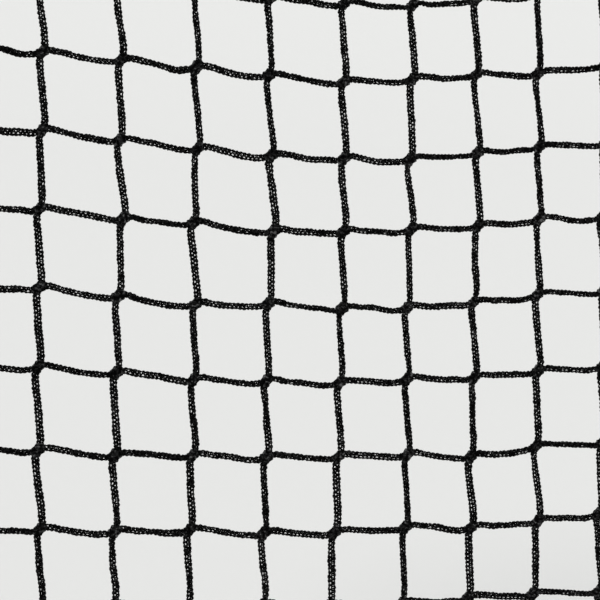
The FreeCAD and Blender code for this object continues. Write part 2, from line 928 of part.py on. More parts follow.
def make_hinge_bracket(side):
    """A pressed strap round the front of the upright, with two ears to the back."""
    stop_back, stop_up = stop_place()
    far_back = hinge_back + stop_back + 2 * stop_round
    front = Vector(-ear_outside, -ear_outside, pivot_up - bracket_down)
    high = bracket_down + bracket_up
    strap = rod(ear_outside, Vector(0, 0, front.z), Vector(0, 0, front.z + high))
    sides = block(
        Vector(-ear_outside, 0, front.z), Vector(ear_outside, far_back, front.z + high)
    )
    space = block(
        Vector(-ear_inside, 0, front.z), Vector(ear_inside, far_back, front.z + high)
    )
    bore = rod(ear_inside, Vector(0, 0, front.z), Vector(0, 0, front.z + high))
    channel = strap.fuse(sides).cut([bore, space])
    wide = 2 * ear_outside
    clasp = block(front, Vector(ear_outside, stop_round, front.z + high))
    middle = Vector(-ear_outside, 0, pivot_up)
    pivot_at = Vector(-ear_outside, hinge_back, pivot_up)
    stop_at = pivot_at + Vector(0, stop_back, stop_up)
    outline = clasp.fuse(
        [
            link(middle, bracket_up, pivot_at, ear_round, wide),
            link(pivot_at, ear_round, stop_at, stop_round, wide),
        ]
    )
    bracket = channel.common(outline)
    reach = 2 * ear_outside
    holes = [
        rod_across(pivot_radius + hole_fit, -reach, reach, hinge_back, pivot_up),
        rod_across(stop_radius + hole_fit, -reach, reach, stop_at.y, stop_at.z),
        rod_across(stop_radius + hole_fit, -reach, reach, 0, pivot_up + bolt_spread),
        rod_across(stop_radius + hole_fit, -reach, reach, 0, pivot_up - bolt_spread),
    ]
    return in_frame(moved(bracket.cut(holes), across=side * upright_across))


def cross_bolt(side, back, up):
    """A bolt through both ears with its head outside, and its nut on the inside."""
    outer = ear_outside + side_gap
    tip = ear_outside + side_gap + small_nut_high + thread_past_nut
    shank = rod_across(stop_radius, -tip, outer + bite, 0, 0)
    run = Vector(small_head_high, 0, 0)
    head = hexagon(small_head_flats, Vector(outer, 0, 0), run)
    bolt = head.fuse(shank)
    start = Vector(-outer, 0, 0)
    nut = hexagon(small_head_flats, start, Vector(-small_nut_high, 0, 0))
    nut = nut.cut(rod_across(stop_radius + sleeve_fit, -2 * tip, 2 * tip, 0, 0))
    facing = 0 if side > 0 else 180
    pair = [turned(piece, Vector(0, 0, 1), facing) for piece in (bolt, nut)]
    return [moved(piece, side * upright_across, back, up) for piece in pair]


def make_bracket_bolts():
    bolts = []
    nuts = []
    for side in (-1, 1):
        for step in (-bolt_spread, bolt_spread):
            bolt, nut = cross_bolt(side, 0, pivot_up + step)
            bolts.append(bolt)
            nuts.append(nut)
    return {
        "bracket_bolts": in_frame(Part.makeCompound(bolts)),
        "bracket_nuts": in_frame(Part.makeCompound(nuts)),
    }


def make_stop_bolt(side):
    stop_back, stop_up = stop_place()
    pair = cross_bolt(side, hinge_back + stop_back, pivot_up + stop_up)
    return in_frame(Part.makeCompound(pair))


def make_pivot_bolt(side):
    """The pivot bolt: its head is inside, and its thread stands out for the knob."""
    inner = -ear_outside - side_gap
    tip = ear_outside + side_gap + insert_long
    shank = rod_across(pivot_radius, inner - bite, tip, 0, 0)
    head = hexagon(pivot_head_flats, Vector(inner, 0, 0), Vector(-pivot_head_high, 0, 0))
    bolt = head.fuse(shank)
    bolt = turned(bolt, Vector(0, 0, 1), 0 if side > 0 else 180)
    return in_frame(moved(bolt, side * upright_across, hinge_back, pivot_up))


def make_washers():
    washers = []
    for side in (-1, 1):
        for face in (-1, 1):
            start = face * (ear_inside - side_gap - washer_thick)
            end = face * (ear_inside - side_gap)
            washer = pipe(
                washer_radius,
                pivot_radius + hole_fit,
                Vector(start, 0, 0),
                Vector(end, 0, 0),
            )
            washers.append(moved(washer, side * upright_across, hinge_back, pivot_up))
    return in_frame(Part.makeCompound(washers))


def knob_seat():
    return ear_outside + 2 * side_gap


def make_knob(side):
    """A lobed hand knob with a moulded-in pocket for its threaded insert."""
    hub_end = knob_hub_high
    top = knob_hub_high + knob_thick
    body = rod(knob_radius, Vector(0, 0, hub_end), Vector(0, 0, top))
    scallop_at = knob_radius + knob_scallop_radius - knob_scallop_depth
    scallops = []
    for lobe in range(knob_lobes):
        turn = math.radians(360 * lobe / knob_lobes)
        centre = Vector(scallop_at * math.cos(turn), scallop_at * math.sin(turn), 0)
        scallops.append(
            rod(knob_scallop_radius, centre, centre + Vector(0, 0, top + bite))
        )
    body = body.cut(scallops)
    rims = [edge for edge in body.Edges if abs(edge.CenterOfMass.z - top) < same_height]
    body = body.makeFillet(knob_round, rims)
    body = body.fuse(rod(knob_hub_radius, Vector(0, 0, 0), Vector(0, 0, hub_end + bite)))
    pocket = rod(
        insert_radius + insert_fit, Vector(0, 0, 0), Vector(0, 0, insert_long + insert_fit)
    )
    return place_on_pivot(body.cut(pocket), side)


def make_knob_insert(side):
    start = Vector(0, 0, 0)
    end = Vector(0, 0, insert_long)
    return place_on_pivot(pipe(insert_radius, pivot_radius + pivot_fit, start, end), side)


def place_on_pivot(shape, side):
    """Set a piece drawn outwards along Z on the pivot, against the outer ear."""
    out = turned(shape, Vector(0, 1, 0), 90)
    out = moved(out, across=knob_seat())
    out = turned(out, Vector(0, 0, 1), 0 if side > 0 else 180)
    return in_frame(moved(out, side * upright_across, hinge_back, pivot_up))


# Every sub-part by name
def make_nodes():
    nodes = {}
    for name, side in (("left", -1), ("right", 1)):
        nodes[name + "_upright"] = make_upright(side)
        nodes[name + "_rail_bracket"] = make_rail_bracket(side)
        nodes[name + "_front_foot"] = make_front_foot(side)
        nodes[name + "_hinge_bracket"] = make_hinge_bracket(side)
        nodes[name + "_pivot_bolt"] = make_pivot_bolt(side)
        nodes[name + "_stop_bolt"] = make_stop_bolt(side)
        nodes[name + "_knob"] = make_knob(side)
        nodes[name + "_knob_insert"] = make_knob_insert(side)
        nodes[name + "_rear_leg"] = make_rear_leg(side)
        nodes[name + "_leg_knuckle"] = make_knuckle(side)
        nodes[name + "_rear_foot"] = make_rear_foot(side)
    nodes["top_bow"] = make_top_bow()
    nodes["bottom_rail"] = make_bottom_rail()
    nodes["rail_screws"] = make_rail_screws()
    nodes["front_foot_screws"] = make_front_foot_screws()
    nodes["rear_foot_screws"] = make_rear_foot_screws()
    nodes["rear_bow"] = make_rear_bow()
    nodes["knuckle_rivets"] = make_rivets()
    nodes["pivot_washers"] = make_washers()
    nodes["netting"] = make_netting()
    nodes["grommets"] = make_grommets()
    nodes["bungee_loops"] = make_loops()
    nodes["bungee_balls"] = make_balls()
    nodes.update(make_bracket_bolts())
    nodes.update(make_buttons())
    nodes.update(make_hems())
    nodes.update(make_straps())
    return nodes


def to_origin(nodes):
    """The step that puts the middle of the whole part's underside at the origin."""
    box = FreeCAD.BoundBox()
    for shape in nodes.values():
        box.add(shape.optimalBoundingBox(False))
    return Vector(-(box.XMin + box.XMax) / 2, -(box.YMin + box.YMax) / 2, -box.ZMin)


nodes = make_nodes()
step = to_origin(nodes)
os.makedirs("parts", exist_ok=True)
for name, shape in nodes.items():
    shape.translate(step)
    shape.exportStep(f"parts/{name}.step")
print("origin moved by", [round(value, 3) for value in step])
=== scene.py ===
import random
from functools import partial
from math import (
    acos, asin, atan2, copysign, cos, degrees, dist, exp, hypot, pi, radians, sin, sqrt, tan
)

import bmesh
import bpy
from bpy.props import FloatProperty, FloatVectorProperty, IntProperty, PointerProperty
from mathutils import Matrix, Vector, noise


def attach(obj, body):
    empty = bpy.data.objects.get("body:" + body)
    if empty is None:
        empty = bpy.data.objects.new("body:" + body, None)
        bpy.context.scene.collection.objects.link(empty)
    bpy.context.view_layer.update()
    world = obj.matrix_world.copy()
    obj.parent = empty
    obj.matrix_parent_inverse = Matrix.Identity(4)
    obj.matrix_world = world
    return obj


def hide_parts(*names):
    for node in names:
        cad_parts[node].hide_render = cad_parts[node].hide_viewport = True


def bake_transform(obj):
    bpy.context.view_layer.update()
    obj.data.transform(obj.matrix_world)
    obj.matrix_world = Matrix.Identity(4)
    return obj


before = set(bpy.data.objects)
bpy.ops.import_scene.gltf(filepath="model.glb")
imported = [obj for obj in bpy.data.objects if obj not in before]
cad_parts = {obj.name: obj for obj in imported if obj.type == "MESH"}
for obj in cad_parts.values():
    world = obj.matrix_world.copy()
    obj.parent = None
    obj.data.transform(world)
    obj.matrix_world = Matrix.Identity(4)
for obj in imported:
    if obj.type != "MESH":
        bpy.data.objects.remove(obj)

bl_info = {
    "name": "Pitching Target Net",
    "version": (1, 0, 0),
    "blender": (4, 5, 0),
    "location": "3D View > Sidebar > Target Net",
    "description": "Dresses the pitching target: knitted netting, webbing, loops, tubes and fittings",
    "category": "Add Mesh",
}

# The part's own sizes in metres, the same as in its source. The target is drawn upright,
# X across, Y to the back and Z up, and then leant back and stepped to its place.
MM = 0.001
MESH_ACROSS = 41.3 * MM
MESH_DOWN = 44.45 * MM
COLUMNS = 14
ROWS = 20
ZONE_COLUMNS = 10
ZONE_ROWS = 14
SAG = 24.5 * MM
SAG_FADE = 0.8
SAG_RISE = 0.3
DRIFT = 8.0 * MM
JOINT_HALF = 2.6 * MM
FRAME_LEAN = radians(10)
STEP_BACK = -280.62 * MM
RAIL_UP = 250 * MM
TUBE_RADIUS = 12.7 * MM
TUBE_WALL = 1.2 * MM
TIE_GAP = 34 * MM
NET_THICK = 2.4 * MM
DOWN_LEG_WIDE = 4.1 * MM
SOFT_GAP = 0.3 * MM
HEM_WIDE = 38 * MM
HEM_OVER_NET = 8 * MM
HEM_PLY = 1.3 * MM
HEM_FLARE_START = 3.5 * MM
HEM_FLARE_END = 6.0 * MM
MITRE_GAP = 0.1 * MM
STRAP_WIDE = 25 * MM
STRAP_THICK = 1.5 * MM
TIE_FIRST = 1
TIE_STEP = 3
GROMMET_IN_HEM = 13 * MM
GROMMET_RADIUS = 8.5 * MM
GROMMET_THROAT = 4.5 * MM
GROMMET_RIM = 2.6 * MM
GROMMET_BARREL = 6.4 * MM
GROMMET_EDGE = 0.3 * MM
CORD_RADIUS = 2.25 * MM
CORD_GAP = 0.15 * MM
BALL_RADIUS = 10 * MM
BALL_ALONG = 0.52
JOINT_UP = 700 * MM
SPIGOT_LONG = 60 * MM
SPIGOT_FIT = 0.1 * MM
LEG_RADIUS = 11.1 * MM
LEG_LEAN = radians(22)
LEG_JOINT_DOWN = 480 * MM
HINGE_ROWS_UP = 4.5
HINGE_BACK = 34 * MM
BUTTON_RADIUS = 3.4 * MM
BUTTON_PROUD = 2.6 * MM
BUTTON_DOME = 1.3 * MM
LEAF_WIDE = 6 * MM
LEAF_THICK = 0.5 * MM
LEAF_GAP = 0.3 * MM
LEAF_BEND = 6 * MM
EAR_OUTSIDE = 15.25 * MM
SIDE_GAP = 0.1 * MM
BOLT_SPREAD = 20 * MM
PIVOT_RADIUS = 4 * MM
PIVOT_THREAD_OUT = 12.9 * MM
STOP_RADIUS = 3 * MM
STOP_DOWN = 24 * MM
STOP_GAP = 0.3 * MM
PIVOT_HEAD_FLATS = 13 * MM
PIVOT_HEAD_HIGH = 5.3 * MM
SMALL_HEAD_FLATS = 10 * MM
SMALL_HEAD_HIGH = 4 * MM
SMALL_NUT_HIGH = 5 * MM
THREAD_PAST_NUT = 2 * MM
SCREW_RADIUS = 2.1 * MM
SCREW_HEAD_RADIUS = 4.2 * MM
SCREW_HEAD_HIGH = 2.6 * MM
FITTING_REACH = 3.3 * MM
RAIL_SOCKET_LONG = 60 * MM
RAIL_SCREW_IN = 15 * MM
SHOE_SCREW_UP = 62 * MM
REAR_FOOT_ACROSS = 240 * MM
REAR_FOOT_FLOOR = 6.1 * MM
RIVET_DOWN = 42 * MM
RIVET_HEAD_RADIUS = 4 * MM
RIVET_HEAD_HIGH = 1.4 * MM
KNOB_RADIUS = 20 * MM
KNOB_THICK = 15 * MM
KNOB_LOBES = 6
KNOB_SCALLOP = 2.8 * MM
KNOB_HUB_RADIUS = 10 * MM
KNOB_HUB_HIGH = 4 * MM
KNOB_POCKET_RADIUS = 6.05 * MM
KNOB_POCKET_DEEP = 13.05 * MM

NET_HALF_WIDE = COLUMNS * MESH_ACROSS / 2
NET_HALF_HIGH = ROWS * MESH_DOWN / 2
ZONE_HALF_WIDE = ZONE_COLUMNS * MESH_ACROSS / 2
ZONE_HALF_HIGH = ZONE_ROWS * MESH_DOWN / 2
ZONE_TOP_ROW = (ROWS - ZONE_ROWS) / 2
HEM_OUT = HEM_WIDE - HEM_OVER_NET
TUBE_FROM_NET = HEM_OUT + TIE_GAP + TUBE_RADIUS
UPRIGHT_ACROSS = NET_HALF_WIDE + TUBE_FROM_NET
NET_CENTRE_UP = RAIL_UP + TUBE_FROM_NET + NET_HALF_HIGH
BAR_UP = NET_CENTRE_UP + NET_HALF_HIGH + TUBE_FROM_NET
PIVOT_UP = NET_CENTRE_UP + HINGE_ROWS_UP * MESH_DOWN
GROMMET_FROM_TUBE = TUBE_RADIUS + TIE_GAP + GROMMET_IN_HEM
SLEEVE_RADIUS = TUBE_RADIUS + FITTING_REACH
JOINT_END = JOINT_HALF / sqrt(2)
STRAP_BACK = -NET_THICK / 2 - SOFT_GAP
STRAP_FRONT = STRAP_BACK - STRAP_THICK

# The webbing's looks: the steps of its points along and across, how long its ripples are, how
# near a grommet the hem lies flat and how far past the last tie it draws in, over what length
# a strap rises to lie over another, the hem's two seams out from the netting's edge, the step
# of a seam's points, and how far a seam lies inside a strap and clear of what it meets
RING_STEP = 4 * MM
CORNER_STEP = 2 * MM
HEM_RIPPLE = 60 * MM
STRAP_RIPPLE = 70 * MM
FINE_RIPPLE = 9 * MM
HELD_FLAT = 9 * MM
PAST_TIES = 20 * MM
STRAP_RISE = 5 * MM
HEM_SEAMS = (-5 * MM, 9 * MM)
SEAM_STEP = 5 * MM
SEAM_INSIDE = 3 * MM
SEAM_CLEAR = 2 * MM

# Noise runs from 0 to 1 and lies mostly between these
NOISE_LOW = 0.3
NOISE_HIGH = 0.7


def moved(across=0.0, back=0.0, up=0.0):
    return Matrix.Translation((across, back, up))


def turned(angle, axis):
    """A turn by an angle in degrees."""
    return Matrix.Rotation(radians(angle), 4, axis)


# The leaning frame, the swung-back stand with its pivot at the origin, the panel's front, and
# a grommet's place on its tie
LEANT = moved(back=STEP_BACK) @ Matrix.Rotation(-FRAME_LEAN, 4, "X")
PIVOT = LEANT @ Vector((0, HINGE_BACK, PIVOT_UP))
IN_STAND = Matrix.Translation(PIVOT) @ Matrix.Rotation(LEG_LEAN, 4, "X")
NET_FRONT = tuple(LEANT.to_3x3() @ Vector((0, -1, 0)))
IN_HEM = moved(GROMMET_FROM_TUBE) @ turned(90, "X")


def linear(colour_hex):
    """An sRGB hex colour as the linear values that Blender's colours use."""
    channels = [int(colour_hex[start : start + 2], 16) / 255 for start in (0, 2, 4)]
    return [
        value / 12.92 if value <= 0.04045 else ((value + 0.055) / 1.055) ** 2.4
        for value in channels
    ]


# Settings a user would change. A tree's inputs have the names of the settings they take.
def value_of(name, description, default, unit="NONE"):
    return FloatProperty(name=name, description=description, default=default, unit=unit)


def length_of(name, description, default):
    return value_of(name, description, default, "LENGTH")


def angle_of(name, description, default):
    """An angle's setting. Its default is in degrees."""
    return value_of(name, description, radians(default), "ROTATION")


def seed_of(description, default):
    return IntProperty(name="Seed", description=description, default=default, min=0)


def colour_of(name, what, colour_hex):
    return FloatVectorProperty(
        name=name, description="Colour of " + what, default=linear(colour_hex), size=3,
        subtype="COLOR",
    )


def by_name(settings):
    """The values of a group of settings by the names that a user sees."""
    kinds = settings.bl_rna.properties
    return {kinds[key].name: getattr(settings, key) for key in type(settings).__annotations__}


class NettingSettings(bpy.types.PropertyGroup):
    stitch: length_of("Stitch length", "Length of one knitted stitch", 2.35 * MM)
    leg_wide: length_of("Leg width", "Width of a knitted mesh leg", 3.75 * MM)
    yarn: length_of("Yarn thickness", "Thickness of one yarn", 1.36 * MM)
    level_share: value_of("Level legs", "Width of a level leg as a share of the others'", 0.86)
    width_spread: value_of("Width spread", "How much the legs differ in width", 0.08)
    tight: value_of("Tight share", "Width of a leg at a joint as a share of its width", 0.72)
    tight_long: length_of("Tight length", "How far from its end a leg is tight", 2.4 * MM)
    twist: angle_of("Twist", "How far a leg turns about its line", 35)
    patches: value_of("Patches", "Uneven patches in a metre of leg", 45)
    late: value_of("Late stitches", "How early or late a patch's stitches come", 6)
    fluff: value_of("Fluff patches", "Thick and thin patches in a metre of yarn", 220)
    dense: value_of("Fluffed yarn", "Thickness of the thickest yarn as a share", 1.45)
    loose: length_of("Loose yarn", "How far a yarn strays from its place", 0.7 * MM)
    joint_lane: length_of("Joint lane", "From a joint's middle line to a leg's chain", 1.15 * MM)
    joint_long: length_of("Joint length", "Length of a joint's solid middle", 9.2 * MM)
    joint_wide: length_of("Joint width", "Width of a joint's solid middle", 6.4 * MM)
    joint_thick: length_of("Joint thickness", "Thickness of a joint's solid middle", 1.1 * MM)
    slack: length_of("Slack", "Sag of a level leg between two joints", 0.9 * MM)
    uneven: length_of("Unevenness", "How far a leg wanders from its line", 0.45 * MM)
    joint_wander: length_of("Joint wander", "How far a joint lies off the drape's lines", 0.85 * MM)
    seed: seed_of("Picks one set of uneven joints and legs", 8410)
    colour: colour_of("Yarn colour", "the netting yarn", "040404")


class WebbingSettings(bpy.types.PropertyGroup):
    hem_colour: colour_of("Hem colour", "the hem's webbing", "1c1c1f")
    target_colour: colour_of("Target colour", "the target's straps", "a8141e")
    rib: length_of("Rib", "Width of one woven rib", 1.3 * MM)
    pick: length_of("Pick", "One thread's step along the webbing", 1.4 * MM)
    pitch: length_of("Stitch pitch", "From one sewn stitch to the next", 4.2 * MM)
    thread: length_of("Thread thickness", "Thickness of the sewing thread", 0.75 * MM)
    slant: angle_of("Stitch slant", "How far a sewn stitch is turned from its line", 3)
    scallop: length_of("Hem scallop", "How far the hem draws in between two loops", 1.6 * MM)
    pucker: length_of("Pucker", "How far sewn webbing lifts and dips", 0.3 * MM)


class TieSettings(bpy.types.PropertyGroup):
    cord_colour: colour_of("Cord colour", "the elastic's braided cover", "1d1d1f")
    ball_colour: colour_of("Ball colour", "the moulded balls", "151516")
    tilt: angle_of("Loop tilt", "How far a loop and its ball hang turned", 3)
    seed: seed_of("Picks how far each loop is turned", 3)


class FrameSettings(bpy.types.PropertyGroup):
    coat_colour: colour_of("Coat colour", "the tubes' powder coat", "1a1b1d")
    plastic_colour: colour_of("Plastic colour", "the feet, brackets and knobs", "1c1c1e")
    soft_edge: length_of("Edge radius", "Rounding of the moulded parts' edges", 0.6 * MM)
    pressed_edge: length_of("Pressed edge radius", "Rounding of the brackets' edges", 0.35 * MM)
    leaf_edge: length_of("Leaf edge radius", "Rounding of the spring leaves' edges", 0.08 * MM)


class StageSettings(bpy.types.PropertyGroup):
    distance: length_of("Camera distance", "From the camera to the netting", 1.0)
    turn: angle_of("Camera turn", "How far round to the left the camera stands", 12)
    rise: angle_of("Camera rise", "How steeply the camera looks down", 10)
    roll: angle_of("Camera roll", "How far the picture is turned", 2.29)
    look_across: length_of("Look across", "Middle of the picture, across the netting", -17.4 * MM)
    look_up: length_of("Look up", "Middle of the picture, up the netting", -95.0 * MM)
    scale: value_of("Picture scale", "Pixels of the picture for each millimetre of netting", 1.75)
    floor: colour_of("Floor colour", "the studio floor", "dcdcda")


# Nodes and materials
def add_node(tree, kind, *values, give=0, **more):
    """Add a node and give one of its outputs. A kind in capitals is a Math node's operation.
    Names in small letters are the node's settings, and the rest is for its inputs."""
    node = tree.nodes.new("ShaderNodeMath" if kind.isupper() else kind)
    if kind.isupper():
        node.operation = kind
    for name in [name for name in more if name[0].islower()]:
        setattr(node, name, more.pop(name))
    feed(node, *values, **more)
    return node.outputs[give]


def feed(node, *values, **named):
    """Give a node's inputs values or links, in order or by name, with _ for a space."""
    sockets = [*node.inputs[: len(values)], *(node.inputs[name.replace("_", " ")] for name in named)]
    for socket, value in zip(sockets, [*values, *named.values()]):
        if isinstance(value, bpy.types.NodeSocket):
            node.id_data.links.new(value, socket)
        else:
            socket.default_value = value


def principled(material):
    return material.node_tree.nodes["Principled BSDF"]


def new_material(name, colour, roughness, shade=None, gloss=None, relief=None, **more):
    """A material with its Principled shader set. Shade and gloss give the size of soft patches
    and the low and high share of the colour, or roughness, that they have. Relief gives the
    size, strength and depth of its bumps."""
    material = bpy.data.materials.new(name)
    material.use_nodes = True
    feed(principled(material), Base_Color=(*colour, 1), Roughness=roughness, **more)
    if shade:
        tint(material, mottle(material, *shade))
    if gloss:
        feed(principled(material), Roughness=mottle(material, *gloss))
    if relief:
        size, strength, deep = relief
        add_bump(material, mottle(material, size, 0.0, 1.0), strength, deep)
    return material


def add_bump(material, height, strength, deep):
    """Bumps of a real depth on the shader's normal."""
    bump = add_node(
        material.node_tree, "ShaderNodeBump", Strength=strength, Distance=deep, Height=height
    )
    feed(principled(material), Normal=bump)


def tint(material, share):
    """Make the base colour darker or paler by a share that varies over the surface."""
    base = principled(material).inputs["Base Color"]
    colour = base.links[0].from_socket if base.links else base.default_value[:3]
    add = partial(add_node, material.node_tree)
    shaded = add("ShaderNodeVectorMath", colour, Scale=share, operation="SCALE")
    feed(principled(material), Base_Color=shaded)


def mottle(material, size, low, high, start=NOISE_LOW, end=NOISE_HIGH):
    """Soft patches of a real size, which run from low, where the noise is at start, to high,
    where it is at end."""
    add = partial(add_node, material.node_tree)
    place = add("ShaderNodeTexCoord", give="Object")
    patches = add("ShaderNodeTexNoise", Vector=place, Scale=1 / size, Detail=4)
    return add("ShaderNodeMapRange", patches, start, end, low, high)


def edge_wear(material, size, gain):
    """How much paler a rounded edge is rubbed, in patches of a real size; 1 away from edges.
    The attribute "rounded" marks the edges."""
    add = partial(add_node, material.node_tree)
    edge = add("ShaderNodeAttribute", attribute_name="rounded", give="Fac")
    rubbed = mottle(material, size, 0.0, gain - 1, start=0.42, end=0.62)
    return add("MULTIPLY_ADD", edge, rubbed, 1.0)


def scuffs(material, wide, long, gain):
    """How much paler fine upright scratches of a real width and length are; 1 between them."""
    add = partial(add_node, material.node_tree)
    place = add("ShaderNodeTexCoord", give="Object")
    stretch = (1 / wide, 1 / wide, 1 / long)
    place = add("ShaderNodeVectorMath", place, stretch, operation="MULTIPLY")
    lines = add("ShaderNodeTexNoise", Vector=place, Scale=1.0, Detail=2)
    return add("ShaderNodeMapRange", lines, From_Min=0.63, From_Max=0.73, To_Min=1.0, To_Max=gain)


def knitted_polyethylene(name, colour, palest_fleck_and_highlight):
    """Black knitted polyethylene yarn: nearly black, with dusty stretches, paler flecks that are partly
    lighter fibres and partly painted highlights where filaments catch the light, and the fine relief of
    the bundled filaments."""
    yarn = new_material(
        name, colour, 0.65, shade=(16 * MM, 0.6, 1.6), relief=(0.4 * MM, 0.8, 0.12 * MM),
        Specular_IOR_Level=0.04,
    )
    # Painted highlights: paler flecks at the filaments' fine scale, standing partly for lighter fibres
    # and partly for light caught on the filaments
    tint(yarn, mottle(yarn, 1.7 * MM, 0.1, palest_fleck_and_highlight, start=0.46, end=0.72))
    return yarn


def flat_place(add):
    """How far across and along its strip or cord a point lies, in metres."""
    return [add("ShaderNodeSeparateXYZ", add("ShaderNodeUVMap"), give=axis) for axis in "XY"]


def woven_webbing(name, colour, rib, pick):
    """Woven polyester webbing: chevron ribs along its length, a silky sheen and a slightly faded, linty
    surface. Its colour is painted darker in the weave's hollows and paler on its crests, as painted
    shade and painted highlights. Rib is one rib's width and pick one thread's step along it."""
    webbing = new_material(name, colour, 0.66, shade=(30 * MM, 0.9, 1.12), Sheen_Weight=0.08)
    add = partial(add_node, webbing.node_tree)
    across, along = flat_place(add)
    slope = add("PINGPONG", across, rib)
    threads = add("SINE", add("MULTIPLY", add("ADD", along, slope), 2 * pi / pick))
    ribs = add("ABSOLUTE", add("SINE", add("MULTIPLY", across, pi / rib)))
    weave = add("MULTIPLY_ADD", threads, 0.5, add("MULTIPLY", ribs, 0.8))
    add_bump(webbing, weave, strength=0.7, deep=0.25 * MM)
    # Painted shade and highlights: the colour follows the weave's bumps, darker in the hollows and paler
    # on the crests
    shade = add(
        "ShaderNodeMapRange", weave, From_Min=-0.5, From_Max=1.3, To_Min=0.5, To_Max=1.2
    )
    tint(webbing, shade)
    return webbing


def braided_cover(colour):
    """The elastic's braided polyester cover: eight strands each way round the cord, painted darker in
    the braid's hollows and paler on its crests as painted shade and painted highlights.
    """
    cover = new_material("braided_polyester_cover", colour, 0.55, Sheen_Weight=0.2)
    add = partial(add_node, cover.node_tree)
    across, along = flat_place(add)
    strand = 2 * pi * CORD_RADIUS / 8
    waves = [add("SINE", add("MULTIPLY", add(way, across, along), 2 * pi / strand))
             for way in ("ADD", "SUBTRACT")]
    braid = add("MULTIPLY", *waves)
    add_bump(cover, braid, strength=0.8, deep=0.3 * MM)
    # Painted shade and highlights: the colour follows the braid's bumps, darker in the hollows and paler
    # on the crests
    shade = add(
        "ShaderNodeMapRange", braid, From_Min=-1.0, From_Max=1.0, To_Min=0.5, To_Max=1.8
    )
    tint(cover, shade)
    return cover


def sewing_thread(name, colour):
    """Bonded polyester sewing thread: two plies twisted together, with a waxy sheen."""
    return new_material(name, colour, 0.45, shade=(1.2 * MM, 0.7, 1.5))


def pressed_brass(colour):
    """Pressed brass eyelets: yellow metal, tarnished in patches, with glossier and rougher patches."""
    return new_material(
        "pressed_brass", colour, 0.3, shade=(4 * MM, 0.55, 1.1), gloss=(2 * MM, 0.2, 0.42),
        relief=(0.5 * MM, 0.25, 0.04 * MM), Metallic=1.0,
    )


def glossy_abs(colour):
    """Moulded ABS balls: glossy black with fine scuffs from handling."""
    return new_material(
        "moulded_glossy_abs", colour, 0.22, gloss=(3 * MM, 0.16, 0.4),
        relief=(1.5 * MM, 0.08, 0.05 * MM),
    )


def satin_powder_coat(colour):
    """Satin black powder coat baked on steel: faint orange peel, dusty patches, fine
    scratches and edges that are rubbed paler."""
    coat = new_material(
        "satin_powder_coat", colour, 0.38, shade=(50 * MM, 0.8, 1.35),
        gloss=(25 * MM, 0.33, 0.45), relief=(1.4 * MM, 0.16, 0.06 * MM),
    )
    tint(coat, scuffs(coat, wide=0.7 * MM, long=30 * MM, gain=2.0))
    tint(coat, edge_wear(coat, size=7 * MM, gain=12.0))
    return coat


def moulded_plastic(name, colour, grain, roughness):
    """Injection-moulded black plastic with an eroded grain from the mould, scuffed here
    and there. The grain is drawn about three times as coarse as the real one, to show."""
    plastic = new_material(
        name, colour, roughness, shade=(20 * MM, 0.8, 1.5),
        gloss=(14 * MM, roughness - 0.05, roughness + 0.06), relief=(grain, 0.7, 0.14 * MM),
    )
    tint(plastic, scuffs(plastic, wide=0.5 * MM, long=12 * MM, gain=2.0))
    tint(plastic, edge_wear(plastic, size=9 * MM, gain=9.0))
    return plastic


def plated_steel(name, colour, roughness):
    """Bright plated or plain steel: metal grey with cloudy patches and fine handling marks."""
    return new_material(
        name, colour, roughness, shade=(3 * MM, 0.75, 1.12),
        gloss=(1.5 * MM, roughness - 0.08, roughness + 0.12),
        relief=(0.4 * MM, 0.15, 0.03 * MM), Metallic=1.0,
    )


def natural_nylon(colour):
    """Natural nylon washers: milky white, slightly see-through and waxy."""
    return new_material(
        "natural_nylon", colour, 0.4, shade=(4 * MM, 0.9, 1.03), Subsurface_Weight=0.15,
        Subsurface_Scale=1.5 * MM,
    )


# Meshes and pieces
def skin(name, rows, loop=False, flat=None):
    """A closed mesh through rings of points. A ring of one point is a pole. loop joins the
    last ring to the first, and other open ends get a face. flat gives each ring's UVs."""
    work = bmesh.new()
    sides = max(len(row) for row in rows)
    rings = []
    for row in rows:
        made = [work.verts.new(point) for point in row]
        rings.append(made if len(made) == sides else made * sides)
    layer = work.loops.layers.uv.new("UVMap") if flat else None
    for number in range(len(rings) if loop else len(rings) - 1):
        low, high = rings[number], rings[(number + 1) % len(rings)]
        for side in range(sides):
            after = (side + 1) % sides
            corners = dict.fromkeys((low[side], low[after], high[after], high[side]))
            if len(corners) < 3:
                continue
            face = work.faces.new(corners)
            if flat:
                uvs = (flat[number][side], flat[number][side + 1],
                       flat[number + 1][side + 1], flat[number + 1][side])
                for corner, uv in zip(face.loops, uvs):
                    corner[layer].uv = uv
    if not loop:
        for ring in (rings[0], rings[-1]):
            if len(set(ring)) > 2:
                work.faces.new(ring)
    bmesh.ops.recalc_face_normals(work, faces=work.faces)
    return as_mesh(name, work)


def as_mesh(name, work):
    """A bmesh as a mesh; the bmesh is then freed."""
    mesh = bpy.data.meshes.new(name)
    work.to_mesh(mesh)
    work.free()
    return mesh


def arc(radius, turns):
    """Points on a circle round the origin at turns in degrees."""
    return [(radius * cos(radians(turn)), radius * sin(radians(turn))) for turn in turns]


def mirrored(corners):
    """Corners on the other side of the line where their second measure is 0."""
    return [(first, -second) for first, second in reversed(corners)]


def turned_shape(name, profile, sides, ring=False, shaped=None):
    """A mesh turned round Z from (radius, height) corners. shaped gives a corner's radius
    and height at an angle, where the shape isn't round."""
    rows = []
    for radius, high in profile:
        if radius == 0:
            rows.append([Vector((0, 0, high))])
            continue
        row = []
        for side in range(sides):
            turn = 2 * pi * side / sides
            reach, up = shaped(radius, high, turn) if shaped else (radius, high)
            row.append(Vector((reach * cos(turn), reach * sin(turn), up)))
        rows.append(row)
    return skin(name, rows, loop=ring)


